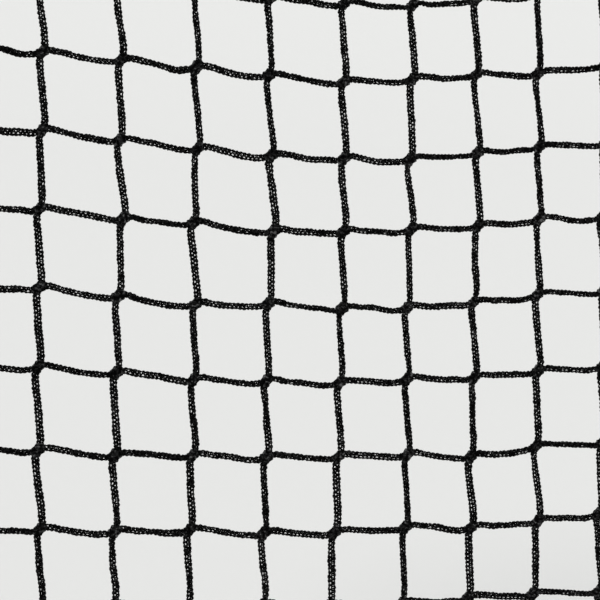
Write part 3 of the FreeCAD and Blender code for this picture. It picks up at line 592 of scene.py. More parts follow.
def joined(name, meshes):
    """Several closed meshes as one."""
    work = bmesh.new()
    for mesh in meshes:
        work.from_mesh(mesh)
    return as_mesh(name, work)


def linked(name, data):
    """An object with its data, in the scene."""
    piece = bpy.data.objects.new(name, data)
    bpy.context.scene.collection.objects.link(piece)
    return piece


def evaluated(source):
    """The plain mesh that an object and its modifiers make; the object is then removed."""
    seen = source.evaluated_get(bpy.context.evaluated_depsgraph_get())
    mesh = bpy.data.meshes.new_from_object(seen)
    bpy.data.objects.remove(source)
    return mesh


def cut(mesh, cutter):
    """A mesh with another one cut out of it."""
    piece = linked(mesh.name, mesh)
    tool = linked("cutter", cutter)
    boolean = piece.modifiers.new("cut", "BOOLEAN")
    boolean.operation = "DIFFERENCE"
    boolean.solver = "EXACT"
    boolean.object = tool
    made = evaluated(piece)
    bpy.data.objects.remove(tool)
    return made


def smooth(mesh, sharp=None):
    """Shade a mesh smooth. Edges that turn by more than sharp degrees stay crisp."""
    mesh.polygons.foreach_set("use_smooth", [True] * len(mesh.polygons))
    if sharp:
        mesh.set_sharp_from_angle(angle=radians(sharp))


def finish_piece(
    name, mesh, body, material, node=None, places=None, sharp=None, bends=None
):
    """Make a mesh, or its copies at places, a piece of the object: shown, riding on its body, with its
    finish, and instead of a CAD node. A piece given bends is set in place in the world instead of riding
    on its body; the body at its other end and the points where its bend starts and ends, which bends
    gives, are not used."""
    if places:
        mesh = set_out(mesh, places, material)
    mesh.materials.clear()
    mesh.materials.append(material)
    smooth(mesh, sharp)
    mesh.name = name
    piece = linked(name, mesh)
    if node:
        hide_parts(node)
    if bends:
        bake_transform(piece)
    else:
        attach(piece, body)


def dress(nodes, material):
    """Give CAD nodes their finish."""
    for node in nodes:
        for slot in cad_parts[node].material_slots:
            slot.material = material


# Geometry Nodes
def new_tree(name, labels, kind="Float"):
    """A Geometry Nodes tree with named inputs, and the sockets that they come from."""
    tree = bpy.data.node_groups.new(name, "GeometryNodeTree")
    tree.interface.new_socket("Geometry", in_out="INPUT", socket_type="NodeSocketGeometry")
    for label in labels:
        tree.interface.new_socket(label, in_out="INPUT", socket_type="NodeSocket" + kind)
    tree.interface.new_socket("Geometry", in_out="OUTPUT", socket_type="NodeSocketGeometry")
    return tree, tree.nodes.new("NodeGroupInput").outputs


def end_tree(tree, geometry, material):
    """Finish a tree: real geometry, smooth, in its material."""
    add = partial(add_node, tree)
    rounded = add("GeometryNodeSetShadeSmooth", add("GeometryNodeRealizeInstances", geometry))
    dressed = add("GeometryNodeSetMaterial", rounded, Material=material)
    feed(tree.nodes.new("NodeGroupOutput"), dressed)
    return tree


def grown(source, tree, values):
    """Run a tree on an object, its inputs set by name, and give what it makes as a mesh."""
    modifier = source.modifiers.new("grow", "NODES")
    modifier.node_group = tree
    for socket in tree.interface.items_tree:
        if socket.item_type == "SOCKET" and socket.name in values:
            modifier[socket.identifier] = values[socket.name]
    return evaluated(source)


def set_out_tree(material):
    """Geometry Nodes that stand one piece at every place, turned as the place says."""
    tree, inputs = new_tree("Set out", ["Piece"], "Object")
    add = partial(add_node, tree)
    piece = add("GeometryNodeObjectInfo", inputs["Piece"], give="Geometry")
    turn = add("GeometryNodeInputNamedAttribute", "turn", data_type="QUATERNION")
    size = add("GeometryNodeInputNamedAttribute", "size", data_type="FLOAT_VECTOR")
    placed = add(
        "GeometryNodeInstanceOnPoints", inputs["Geometry"], Instance=piece, Rotation=turn, Scale=size
    )
    return end_tree(tree, placed, material)


def set_out(mesh, places, material=None):
    """Copies of a mesh at every place, as one mesh."""
    points = bpy.data.meshes.new("places")
    points.from_pydata([place.to_translation() for place in places], [], [])
    points.attributes.new("turn", "QUATERNION", "POINT")
    points.attributes.new("size", "FLOAT_VECTOR", "POINT")
    for number, place in enumerate(places):
        points.attributes["turn"].data[number].value = place.to_quaternion()
        points.attributes["size"].data[number].vector = place.to_scale()
    piece = linked("piece", mesh)
    made = grown(linked("places", points), set_out_tree(material), {"Piece": piece})
    bpy.data.objects.remove(piece)
    return made


def curve_object(lines, order=3, shares=None):
    """A plain curve object with one smooth spline through the corners of each line. Each
    line's share of the full width is kept as its points' radius."""
    curve = bpy.data.curves.new("lines", "CURVE")
    curve.dimensions = "3D"
    for line, share in zip(lines, shares or [1.0] * len(lines)):
        spline = curve.splines.new("NURBS")
        spline.points.add(len(line) - 1)
        for point, place in zip(spline.points, line):
            point.co = (*place, 1)
            point.radius = share
        spline.order_u = order
        spline.use_endpoint_u = True
        spline.resolution_u = 6
    return linked("lines", curve)


# Netting
def crossing(column, row):
    """Where two lines of the mesh cross, across and up in the leaning panel."""
    across = (column - COLUMNS / 2) * MESH_ACROSS
    up = NET_CENTRE_UP + (ROWS / 2 - row) * MESH_DOWN
    share = (row - ZONE_TOP_ROW) / ZONE_ROWS
    if abs(across) < ZONE_HALF_WIDE and 0 < share < 1:
        between_straps = (1 + cos(pi * across / ZONE_HALF_WIDE)) / 2
        rise = 1 - exp(-((share / SAG_RISE) ** 2))
        up -= SAG * (1 - share) ** SAG_FADE * rise * between_straps
        across += DRIFT * sin(pi * share) * between_straps
    return across, up


def joint_places(sizes):
    """Where each joint of the netting lies, across and up, by its column and row. A joint
    that the hem doesn't hold lies a little off the drape's smooth lines."""
    draw = random.Random(sizes.seed)
    places = {}
    for row in range(ROWS + 1):
        for column in range(COLUMNS + 1):
            across, up = crossing(column, row)
            if 0 < row < ROWS and 0 < column < COLUMNS:
                across += draw.gauss(0, sizes.joint_wander)
                up += draw.gauss(0, sizes.joint_wander)
            places[column, row] = Vector((across, 0, up))
    return places


# Each yarn of the knitted chain: how far out its line lies and how far it swings, as shares
# of half the leg's width; how far it comes forward, as a share of its thickness; its
# thickness as a share of the yarn's; and its points for each stitch
CHAIN_YARNS = {
    "left_edge": {"out": -0.8, "swing": 0.12, "forward": 0.25, "thick": 0.85, "points": 4},
    "right_edge": {"out": 0.8, "swing": 0.12, "forward": -0.25, "thick": 0.85, "points": 4},
    "core": {"out": 0.0, "swing": 0.04, "forward": -0.5, "thick": 0.85, "points": 2},
    "lapping": {"out": 0.0, "swing": 0.84, "forward": 0.6, "thick": 0.78, "points": 6},
}


def yarn_offset(add, inputs, yarn, place):
    """How far a yarn's points lie from the leg's line, aside and forward."""
    along = add("GeometryNodeInputTangent")

    # The yarn swings once for each stitch, early or late by patches
    patches = add("ShaderNodeTexNoise", Vector=place, Scale=inputs["Patches"], Detail=1)
    late = add("MULTIPLY", add("SUBTRACT", patches, 0.5), inputs["Late stitches"])
    index = add("GeometryNodeSplineParameter", give="Index")
    phase = add("MULTIPLY_ADD", index, 2 * pi / yarn["points"], late)

    # The leg faces the front, and twists from one patch to the next
    patches = add("ShaderNodeTexNoise", Vector=place, Scale=inputs["Patches"], Detail=2)
    back = add("MULTIPLY", inputs["Twist"], -1)
    twist = add("ShaderNodeMapRange", patches, NOISE_LOW, NOISE_HIGH, back, inputs["Twist"])
    facing = add(
        "ShaderNodeVectorRotate", NET_FRONT, Axis=along, Angle=twist, rotation_type="AXIS_ANGLE"
    )
    aside = add("ShaderNodeVectorMath", along, facing, operation="CROSS_PRODUCT")
    aside = add("ShaderNodeVectorMath", aside, operation="NORMALIZE")

    # The leg is tight at its ends, and then widens to its own share of the full width
    done = add("GeometryNodeSplineParameter", give="Length")
    to_end = add("MINIMUM", done, add("SUBTRACT", add("GeometryNodeSplineLength"), done))
    tight_long = inputs["Tight length"]
    full_from = add("MULTIPLY", tight_long, 1.7)
    wide = add(
        "ShaderNodeMapRange", to_end, tight_long, full_from, inputs["Tight share"],
        add("GeometryNodeInputRadius"), interpolation_type="SMOOTHSTEP",
    )
    half = add("MULTIPLY", add("MULTIPLY", inputs["Leg width"], 0.5), wide)
    out = add("MULTIPLY_ADD", add("COSINE", phase), yarn["swing"], yarn["out"])
    forward = add("MULTIPLY", add("SINE", phase), -yarn["forward"])
    across = add("ShaderNodeVectorMath", aside, Scale=add("MULTIPLY", out, half), operation="SCALE")
    lift = add(
        "ShaderNodeVectorMath", facing, Scale=add("MULTIPLY", forward, inputs["Yarn thickness"]),
        operation="SCALE",
    )
    return add("ShaderNodeVectorMath", across, lift, operation="ADD")


def chain_yarn(tree, inputs, yarn):
    """One yarn of the chain along every line: resampled, swung aside and given its thickness."""
    add = partial(add_node, tree)
    total = add("GeometryNodeSplineLength")
    stitches = add("ROUND", add("DIVIDE", total, inputs["Stitch length"]))
    count = add("MULTIPLY_ADD", stitches, yarn["points"], 1)
    line = add("GeometryNodeResampleCurve", inputs["Geometry"], Count=count)
    place = add("GeometryNodeInputPosition")
    offset = yarn_offset(add, inputs, yarn, place)

    # Each yarn has its own thick and thin stretches, and strays three times as finely
    own = (yarn["out"], yarn["swing"], 0)
    apart = add("ShaderNodeVectorMath", place, own, operation="ADD")
    fluff = inputs["Fluff patches"]
    stray = add(
        "ShaderNodeTexNoise", Vector=apart, Scale=add("MULTIPLY", fluff, 3), Detail=0, give="Color"
    )
    stray = add("ShaderNodeVectorMath", stray, (0.5, 0.5, 0.5), operation="SUBTRACT")
    offset = add(
        "ShaderNodeVectorMath", stray, inputs["Loose yarn"], offset, operation="MULTIPLY_ADD"
    )
    patches = add("ShaderNodeTexNoise", Vector=apart, Scale=fluff, Detail=2)
    dense = add(
        "ShaderNodeMapRange", patches, From_Min=0.45, From_Max=0.7, To_Min=0.92,
        To_Max=inputs["Fluffed yarn"],
    )

    radius = add("MULTIPLY", inputs["Yarn thickness"], 0.5 * yarn["thick"])
    return add(
        "GeometryNodeCurveToMesh", add("GeometryNodeSetPosition", line, Offset=offset),
        add("GeometryNodeCurvePrimitiveCircle", Resolution=4, Radius=radius), Scale=dense,
        Fill_Caps=True,
    )


def chain_tree(material):
    """Geometry Nodes that knit a chain of four yarns along each line."""
    tree, inputs = new_tree(
        "Knitted chain",
        ["Stitch length", "Leg width", "Yarn thickness", "Tight share", "Tight length", "Twist",
         "Patches", "Late stitches", "Fluff patches", "Fluffed yarn", "Loose yarn"],
    )
    knitted = tree.nodes.new("GeometryNodeJoinGeometry")
    for yarn in CHAIN_YARNS.values():
        tree.links.new(chain_yarn(tree, inputs, yarn), knitted.inputs[0])
    return end_tree(tree, knitted.outputs[0], material)


def wandering_leg(start, end, lane, away, hang, uneven, draw):
    """A leg's line, from mid joint to mid joint: it leaves along the joint, turns into the
    leg, hangs or bows a little, and turns into the next joint."""
    diagonal = Vector((JOINT_END, 0, JOINT_END))
    leave, arrive = start + diagonal * away, end - diagonal * away
    run = (arrive - leave).normalized()
    side = Vector((run.z, 0, -run.x))
    in_joint, in_lane = 0.25, 0.6
    line = [start - lane, leave.lerp(start, in_joint) - lane * in_lane, leave + run * JOINT_HALF]
    for share in (0.25, 0.5, 0.75):
        bow = Vector((0, 0, 4 * share * (1 - share) * hang))
        line.append(leave.lerp(arrive, share) - bow + side * draw.gauss(0, uneven))
    line += [arrive - run * JOINT_HALF, arrive.lerp(end, in_joint) + lane * in_lane, end + lane]
    return [LEANT @ point for point in line]


def leg_lines(first_row, last_row, joints, sizes, draw):
    """The line of every leg from one row of joints to the next, and its share of the width.
    An upright leg is drawn tight, so it wanders half as far."""
    lane = Vector((-1, 0, 1)).normalized() * sizes.joint_lane
    least_slack, most_slack = 0.1, 1.7
    lines = []
    for row in range(first_row, last_row):
        for column in range(COLUMNS):
            left, right = joints[column, row], joints[column + 1, row]
            hang = sizes.slack * draw.uniform(least_slack, most_slack)
            line = wandering_leg(left, right, lane, 1, hang, sizes.uneven, draw)
            lines.append((line, sizes.level_share * draw.gauss(1, sizes.width_spread)))
        if row == ROWS:
            break
        for column in range(COLUMNS + 1):
            above, below = joints[column, row], joints[column, row + 1]
            line = wandering_leg(above, below, lane, -1, 0.0, sizes.uneven / 2, draw)
            lines.append((line, draw.gauss(1, sizes.width_spread)))
    return lines


class NETTING_OT_legs(bpy.types.Operator):
    """Knit the netting's legs, band by band"""

    bl_idname = "target_net.netting_legs"
    bl_label = "Netting legs"

    def execute(self, context):
        sizes = context.scene.target_netting
        material = knitted_polyethylene("knitted_polyethylene", sizes.colour, palest_fleck_and_highlight=14.0)
        tree = chain_tree(material)
        joints = joint_places(sizes)
        draw = random.Random(sizes.seed + 1)
        rows_in_band = 2
        for band, row in enumerate(range(0, ROWS + 1, rows_in_band), 1):
            last = min(row + rows_in_band, ROWS + 1)
            lines, shares = zip(*leg_lines(row, last, joints, sizes, draw))
            mesh = grown(curve_object(lines, shares=shares), tree, by_name(sizes))
            node = "netting" if band == 1 else None
            finish_piece(f"netting_band_{band}", mesh, "frame", material, node)
        return {"FINISHED"}


def joint_mesh(sizes):
    """A joint's solid middle: a pressed, lumpy knot of yarn, drawn along X."""
    steps, sides, lump, fullness = 8, 10, 0.16, 0.6
    half = Vector((sizes.joint_long, sizes.joint_thick, sizes.joint_wide)) / 2
    rows = [[Vector((-half.x, 0, 0))]]
    for step in range(1, steps):
        turn = pi * step / steps
        row = []
        for side in range(sides):
            around = 2 * pi * side / sides
            # The lumps' 3 and 2.4 keep them from lining up along the joint or round it
            swell = sin(turn) ** fullness * (1 + lump * sin(3 * step + 2.4 * side))
            row.append(Vector((-cos(turn) * half.x, sin(around) * half.y * swell,
                               cos(around) * half.z * swell)))
        rows.append(row)
    return skin("joint", [*rows, [Vector((half.x, 0, 0))]])


class NETTING_OT_joints(bpy.types.Operator):
    """Knit the netting's joints"""

    bl_idname = "target_net.netting_joints"
    bl_label = "Netting joints"

    def execute(self, context):
        sizes = context.scene.target_netting
        tilt_spread, size_spread = 5, 0.06
        draw = random.Random(sizes.seed + 2)
        places = []
        for joint in joint_places(sizes).values():
            tilt = -45 + draw.gauss(0, tilt_spread)
            size = Matrix.Diagonal((draw.gauss(1, size_spread), 1, draw.gauss(1, size_spread), 1))
            place = LEANT @ moved(*joint) @ turned(tilt, "Y")
            places.append(place @ turned(draw.choice((0, 180)), "X") @ size)
        # The joints' flecks run much paler than the legs': more painted highlight on the lapped yarn,
        # with some lighter fibres
        material = knitted_polyethylene("lapped_polyethylene", sizes.colour, palest_fleck_and_highlight=90.0)
        finish_piece(
            "netting_joints", joint_mesh(sizes), "frame", material, places=places
        )
        return {"FINISHED"}


# Webbing: the hem and the target's straps
def smooth_step(value, start, end):
    share = min(max((value - start) / (end - start), 0.0), 1.0)
    return share * share * (3 - 2 * share)


def along_evenly(start, end, step):
    """Places from start to end at nearly the given step."""
    count = max(round((end - start) / step), 1)
    return [start + (end - start) * number / count for number in range(count + 1)]


def webbing_strip(name, outline, stations, place_at):
    """A strip of webbing through a closed outline's corners at every station. place_at gives
    how far along a corner is and its point, and the UVs are metres round and along."""
    around = [0.0]
    for corner, after in zip(outline, outline[1:] + outline[:1]):
        around.append(around[-1] + dist(corner, after))
    rows = []
    flat = []
    for station in stations:
        alongs, points = zip(*(place_at(station, *corner) for corner in outline))
        rows.append(points)
        flat.append(list(zip(around, alongs + alongs[:1])))
    return skin(name, rows, flat=flat)


def hem_half_thick(out):
    """Half the hem's thickness at a distance out from the netting's edge line."""
    over_net = NET_THICK / 2 + SOFT_GAP + HEM_PLY
    nose = out - (HEM_OUT - HEM_PLY)
    if nose > 0:
        return sqrt(max(HEM_PLY**2 - nose**2, 0.0))
    return over_net + (HEM_PLY - over_net) * smooth_step(out, HEM_FLARE_START, HEM_FLARE_END)


def hem_outline():
    """The folded webbing's closed outline as (out, back), round the fold and the pocket."""
    selvedge = 0.45 * MM
    slot = NET_THICK / 2 + SOFT_GAP
    slot_end = DOWN_LEG_WIDE / 2 + SOFT_GAP
    inner = -HEM_OVER_NET
    nose_start = HEM_OUT - HEM_PLY
    outs = along_evenly(inner + selvedge, nose_start, CORNER_STEP)
    outs += [nose_start + out for _, out in arc(HEM_PLY, (22, 45, 68))]
    front = [(inner, -slot - selvedge), (inner, selvedge - slot - HEM_PLY)]
    front += [(out, -hem_half_thick(out)) for out in outs]
    pocket = [(inner + selvedge, slot), (slot_end, slot)]
    return front + [(HEM_OUT, 0)] + mirrored(front) + pocket + mirrored(pocket)


def hem_strip(half_long, last_tie, tie_pitch, place, sizes):
    """One side of the hem, mitred at both ends, drawn in between its ties and puckered, but
    flat where a grommet holds it. Its two faces lie apart in the noise, to ripple differently."""
    faces_apart = 9

    def place_at(share, out, back):
        x = share * (half_long + out - MITRE_GAP)
        from_tie = abs((abs(x) + tie_pitch / 2) % tie_pitch - tie_pitch / 2)
        from_grommet = hypot(from_tie, out - (HEM_OUT - GROMMET_IN_HEM))
        free = smooth_step(from_grommet, HELD_FLAT, 2 * HELD_FLAT)
        between = smooth_step(from_tie, 0, tie_pitch / 2) if abs(x) < last_tie + PAST_TIES else 0
        drawn = sizes.scallop * between * max(out / HEM_OUT, 0) ** 2
        lift = 1.5 * sizes.pucker * noise.noise(Vector((x, half_long, 0)) / HEM_RIPPLE)
        ripple = sizes.pucker * noise.noise(Vector((x, out, back * faces_apart)) / FINE_RIPPLE)
        return x, place @ Vector((x, back + (lift + ripple) * free, out - drawn))

    shares = along_evenly(-1, 1, RING_STEP / (half_long + HEM_OUT))
    return webbing_strip("hem", hem_outline(), shares, place_at)


def hem_sides():
    """Each side of the hem: its half length, last tie, tie pitch and its place. A side is
    drawn along X with Z outwards, as the hem's top side lies."""
    ties_across = (COLUMNS / 2 - TIE_FIRST - 1) * MESH_ACROSS
    ties_down = (ROWS / 2 - TIE_FIRST) * MESH_DOWN
    level = (NET_HALF_WIDE, ties_across, TIE_STEP * MESH_ACROSS)
    upright = (NET_HALF_HIGH, ties_down, TIE_STEP * MESH_DOWN)
    for name, side, turn, half_deep in (
        ("top", level, 0, NET_HALF_HIGH),
        ("right", upright, 90, NET_HALF_WIDE),
        ("bottom", level, 180, NET_HALF_HIGH),
        ("left", upright, -90, NET_HALF_WIDE),
    ):
        place = LEANT @ moved(up=NET_CENTRE_UP) @ turned(turn, "Y") @ moved(up=half_deep)
        yield name, *side, place


def stitch_tree(material):
    """Geometry Nodes that set a row of slanted lockstitches along each line."""
    tree, inputs = new_tree("Lockstitches", ["Stitch pitch", "Thread thickness", "Stitch slant"])
    add = partial(add_node, tree)
    geometry, pitch, thread, slant = list(inputs)[:4]
    line = add("GeometryNodeResampleCurve", geometry, Length=pitch, mode="LENGTH")
    along = add("GeometryNodeInputTangent")
    turn = add("FunctionNodeAlignRotationToVector", Vector=along, axis="X")
    # A stitch is a little shorter than the pitch, so that webbing shows between two
    size = add("ShaderNodeCombineXYZ", add("MULTIPLY", pitch, 0.86), thread, thread)
    stitch = add("GeometryNodeMeshUVSphere", Segments=6, Rings=4, Radius=0.5)
    lying = add("GeometryNodeTransform", stitch, Rotation=(0, radians(90), 0))
    placed = add("GeometryNodeInstanceOnPoints", line, Instance=lying, Rotation=turn, Scale=size)
    slanted = add(
        "GeometryNodeRotateInstances", placed, Rotation=add("ShaderNodeCombineXYZ", 0, slant, slant)
    )
    return end_tree(tree, slanted, material)


def stitch(what, lines, sizes, colour):
    """Make the piece of lockstitches that sews the hem or the target, along straight runs."""
    material = sewing_thread(what + "_sewing_thread", colour)
    mesh = grown(curve_object(lines, 2), stitch_tree(material), by_name(sizes))
    finish_piece(what + "_stitching", mesh, "frame", material)


class WEBBING_OT_hem(bpy.types.Operator):
    """Sew the folded webbing hem round the netting"""

    bl_idname = "target_net.hem"
    bl_label = "Hem"

    def execute(self, context):
        sizes = context.scene.target_webbing
        material = woven_webbing("woven_polyester_hem", sizes.hem_colour, sizes.rib, sizes.pick)
        half = [(GROMMET_BARREL, HEM_WIDE), (0, HEM_WIDE)]
        hole = turned_shape("hole", mirrored(half) + half, sides=20)
        holes = set_out(hole, [tie @ IN_HEM for tie in tie_frames()])
        lines = []
        for side, half_long, last_tie, pitch, place in hem_sides():
            strip = cut(hem_strip(half_long, last_tie, pitch, place, sizes), holes)
            finish_piece(
                "hem_webbing_" + side, strip, "frame", material, "hem_" + side
            )
            for out in HEM_SEAMS:
                end = half_long + out - SEAM_CLEAR
                for back in (hem_half_thick(out), -hem_half_thick(out)):
                    lines.append([place @ Vector((x, back, out)) for x in (-end, end)])
        stitch("hem", lines, sizes, sizes.hem_colour)
        return {"FINISHED"}


def strap_lift(along, half_long, lifted):
    """How far a strap is lifted where it lies over the strap below at its two ends."""
    over = half_long - STRAP_WIDE
    return STRAP_THICK * smooth_step(abs(along), over - STRAP_RISE, over) if lifted else 0.0


def strap_mesh(half_long, lifted, place, sizes):
    """A strap along X with rolled selvedges, its back on the netting and its front to -Y."""
    edge = STRAP_THICK / 2
    flat_half = STRAP_WIDE / 2 - edge
    across = along_evenly(-flat_half, flat_half, CORNER_STEP)
    roll = arc(edge, (45, 0, -45))
    outline = [(z, STRAP_FRONT) for z in across]
    outline += [(flat_half + out, STRAP_BACK - edge - back) for out, back in roll]
    outline += [(z, STRAP_BACK) for z in reversed(across)]
    outline += [(-flat_half - out, STRAP_BACK - edge + back) for out, back in roll]

    def place_at(x, z, y):
        wander = 2 * sizes.pucker * noise.noise(Vector((x, half_long, lifted)) / STRAP_RIPPLE)
        ripple = sizes.pucker * noise.noise(Vector((x, z, half_long)) / FINE_RIPPLE)
        front = y - strap_lift(x, half_long, lifted) - abs(ripple)
        return x, place @ Vector((x, front, z + wander))

    return webbing_strip("strap", outline, along_evenly(-half_long, half_long, RING_STEP), place_at)


def strap_stitches(half_long, lifted, place):
    """The two edge rows of a strap, and the boxes with crosses at the ends of a lifted one."""
    inset = STRAP_WIDE / 2 - SEAM_INSIDE
    end = half_long - (SEAM_INSIDE if lifted else STRAP_WIDE + SEAM_CLEAR)
    lines = []
    for z in (-inset, inset):
        places = along_evenly(-end, end, SEAM_STEP)
        lines.append([(x, STRAP_FRONT - strap_lift(x, half_long, lifted), z) for x in places])
    if lifted:
        level = STRAP_FRONT - STRAP_THICK
        for side in (-1, 1):
            outer = side * (half_long - SEAM_INSIDE)
            inner = side * (half_long - STRAP_WIDE + SEAM_INSIDE)
            for start, stop, half in ((outer, inner, inset), (outer, inner, -inset),
                                      (outer, outer, inset), (inner, inner, inset)):
                lines.append([(start, level, -half), (stop, level, half)])
    return [[place @ Vector(point) for point in line] for line in lines]


class WEBBING_OT_target(bpy.types.Operator):
    """Sew the strap rectangle on the netting"""

    bl_idname = "target_net.target_straps"
    bl_label = "Target straps"

    def execute(self, context):
        sizes = context.scene.target_webbing
        colour = sizes.target_colour
        material = woven_webbing("woven_polyester_target", colour, sizes.rib, sizes.pick)
        half_wide = ZONE_HALF_WIDE + STRAP_WIDE / 2
        half_high = ZONE_HALF_HIGH + STRAP_WIDE / 2 - SEAM_CLEAR
        middle = LEANT @ moved(up=NET_CENTRE_UP)
        lines = []
        for side, half_long, lifted, place in (
            ("top", half_wide, True, middle @ moved(up=ZONE_HALF_HIGH)),
            ("bottom", half_wide, True, middle @ moved(up=-ZONE_HALF_HIGH)),
            ("left", half_high, False, middle @ moved(-ZONE_HALF_WIDE) @ turned(90, "Y")),
            ("right", half_high, False, middle @ moved(ZONE_HALF_WIDE) @ turned(90, "Y")),
        ):
            mesh = strap_mesh(half_long, lifted, place, sizes)
            finish_piece(
                "target_webbing_" + side, mesh, "frame", material,
                "target_strap_" + side,
            )
            lines += strap_stitches(half_long, lifted, place)
        stitch("target", lines, sizes, colour)
        return {"FINISHED"}


# Grommets and elastic ball loops
def tie_frames():
    """The frame of each tie: X from the tube's middle to the netting, Y to the back."""
    places = []
    for column in range(TIE_FIRST, COLUMNS, TIE_STEP):
        across = (column - COLUMNS / 2) * MESH_ACROSS
        places += [(across, BAR_UP, 90), (across, RAIL_UP, -90)]
    for row in range(TIE_FIRST, ROWS, TIE_STEP):
        up = NET_CENTRE_UP + (ROWS / 2 - row) * MESH_DOWN
        places += [(-UPRIGHT_ACROSS, up, 0), (UPRIGHT_ACROSS, up, 180)]
    return [LEANT @ moved(across, 0, up) @ turned(turn, "Y") for across, up, turn in places]


def grommet_mesh():
    """A rolled eyelet round Z: the throat's roll, two flanges and their turned-down edges."""
    roll = GROMMET_THROAT + GROMMET_RIM
    face = HEM_PLY + GROMMET_EDGE / 2
    half = [(roll - out, up) for out, up in arc(GROMMET_RIM, range(18, 91, 18))]
    half += [
        (roll + 0.7 * MM, GROMMET_RIM * 0.93),
        (GROMMET_RADIUS - 0.3 * MM, face + GROMMET_EDGE + 0.1 * MM),
        (GROMMET_RADIUS, face + 0.1 * MM),
        (GROMMET_RADIUS - 0.2 * MM, face - 0.15 * MM),
        (GROMMET_BARREL, face),
    ]
    profile = mirrored(half) + [(GROMMET_THROAT, 0)] + half
    return turned_shape("grommet", profile, sides=36, ring=True)


def loop_line():
    """The control points of one loop, from the ball round the tube and through the grommet,
    and the ball's place and the cord's run there. A turn's points are the corners of a
    many-sided shape round its circle."""
    big = TUBE_RADIUS + CORD_GAP + CORD_RADIUS
    small = GROMMET_RIM + CORD_GAP + CORD_RADIUS
    far = GROMMET_FROM_TUBE - GROMMET_THROAT - GROMMET_RIM
    front = pi / 2 - asin((big - small) / far)

    def round_turn(middle, radius, start, end, corners):
        step = (end - start) / corners
        reach = radius / cos(step / 2)
        turns = [start + step * (number - 0.5) for number in range(corners + 2)]
        return [Vector((middle + reach * cos(turn), reach * sin(turn), 0)) for turn in turns]

    at_grommet = round_turn(far, small, -front, front, 5)
    at_tube = round_turn(0.0, big, front, 2 * pi - front, 8)
    near = Vector((big * cos(front), -big * sin(front), 0))
    run = Vector((far + small * cos(front), -small * sin(front), 0)) - near
    ball = near + run * BALL_ALONG
    past = run.normalized() * CORD_RADIUS / 2
    return [ball + past, *at_grommet, *at_tube, ball - past], ball, run


def cord_mesh(name, line, radius, sides):
    """A round cord along a flat smooth line, with its UV map in metres."""
    path = evaluated(curve_object([line]))
    points = [vertex.co.copy() for vertex in path.vertices]
    turns = [2 * pi * side / sides for side in range(sides + 1)]
    rows = []
    flat = []
    along = 0.0
    for number, point in enumerate(points):
        before, after = points[max(number - 1, 0)], points[min(number + 1, len(points) - 1)]
        aside = (after - before).normalized().cross(Vector((0, 0, 1)))
        rows.append([point + (aside * cos(turn) + Vector((0, 0, sin(turn)))) * radius
                     for turn in turns[:-1]])
        flat.append([(turn * radius, along) for turn in turns])
        along += (after - point).length
    return skin(name, rows, flat=flat)


def ball_mesh():
    """A ball round Z with a countersunk bore and a fine parting line round its middle."""
    bore = CORD_RADIUS + 0.15 * MM
    line = 0.25 * MM
    sink = 0.6 * MM
    at_bore, at_line, apart = degrees(acos((bore + sink) / BALL_RADIUS)), 3, 9
    half = arc(BALL_RADIUS, along_evenly(at_bore, at_line, -apart))
    above = [(bore, half[0][1] - sink), *half, (BALL_RADIUS - line, line)]
    profile = above + [(BALL_RADIUS - line, 0)] + mirrored(above)
    return turned_shape("ball", profile[::-1], sides=32, ring=True)


class TIES_OT_loops(bpy.types.Operator):
    """Tie the netting to the tubes: grommets, elastic loops and balls"""

    bl_idname = "target_net.ball_loops"
    bl_label = "Grommets and ball loops"

    def execute(self, context):
        sizes = context.scene.target_ties
        ties = tie_frames()
        draw = random.Random(sizes.seed)
        hung = [tie @ Matrix.Rotation(draw.gauss(0, sizes.tilt), 4, "X") for tie in ties]
        line, ball, run = loop_line()
        along_cord = Matrix.Rotation(atan2(run.y, run.x), 4, "Z") @ turned(90, "Y")
        on_loop = Matrix.Translation(ball) @ along_cord
        brass = pressed_brass(linear("dbcaa5"))
        cover = braided_cover(sizes.cord_colour)
        plastic = glossy_abs(sizes.ball_colour)
        for name, mesh, places, local, material, slot, node in (
            ("grommets_brass", grommet_mesh(), ties, IN_HEM, brass, "grommet_metal", "grommets"),
            ("elastic_loops", cord_mesh("loop", line, CORD_RADIUS, 14), hung, Matrix(), cover,
             "elastic_cord", "bungee_loops"),
            ("loop_balls", ball_mesh(), hung, on_loop, plastic, "ball_plastic", "bungee_balls"),
        ):
            places = [place @ local for place in places]
            finish_piece(name, mesh, "frame", material, node, places, sharp=40)
        return {"FINISHED"}


# Tubes, brackets and moulded fittings
def softened(node, wide):
    """A merged copy of a CAD node's mesh with its edges rounded, and marked where they rub."""
    work = bmesh.new()
    work.from_mesh(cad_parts[node].data)
    bmesh.ops.remove_doubles(work, verts=work.verts, dist=0.001 * MM)
    bmesh.ops.dissolve_limit(work, angle_limit=radians(1), verts=work.verts, edges=work.edges)
    mesh = as_mesh(node, work)
    smooth(mesh)
    # The bevel puts its faces in the second material slot, which is how they are known later
    for slot in ("face", "edge"):
        mesh.materials.append(bpy.data.materials.get(slot) or bpy.data.materials.new(slot))
    source = linked(node, mesh)
    bevel = source.modifiers.new("round", "BEVEL")
    bevel.material = 1
    bevel.width = wide
    bevel.segments = 2
    bevel.use_clamp_overlap = False
    bevel.limit_method = "ANGLE"
    bevel.angle_limit = radians(35)
    source.modifiers.new("flats", "WEIGHTED_NORMAL").weight = 100
    made = evaluated(source)
    mark_rubbed_edges(made)
    return made


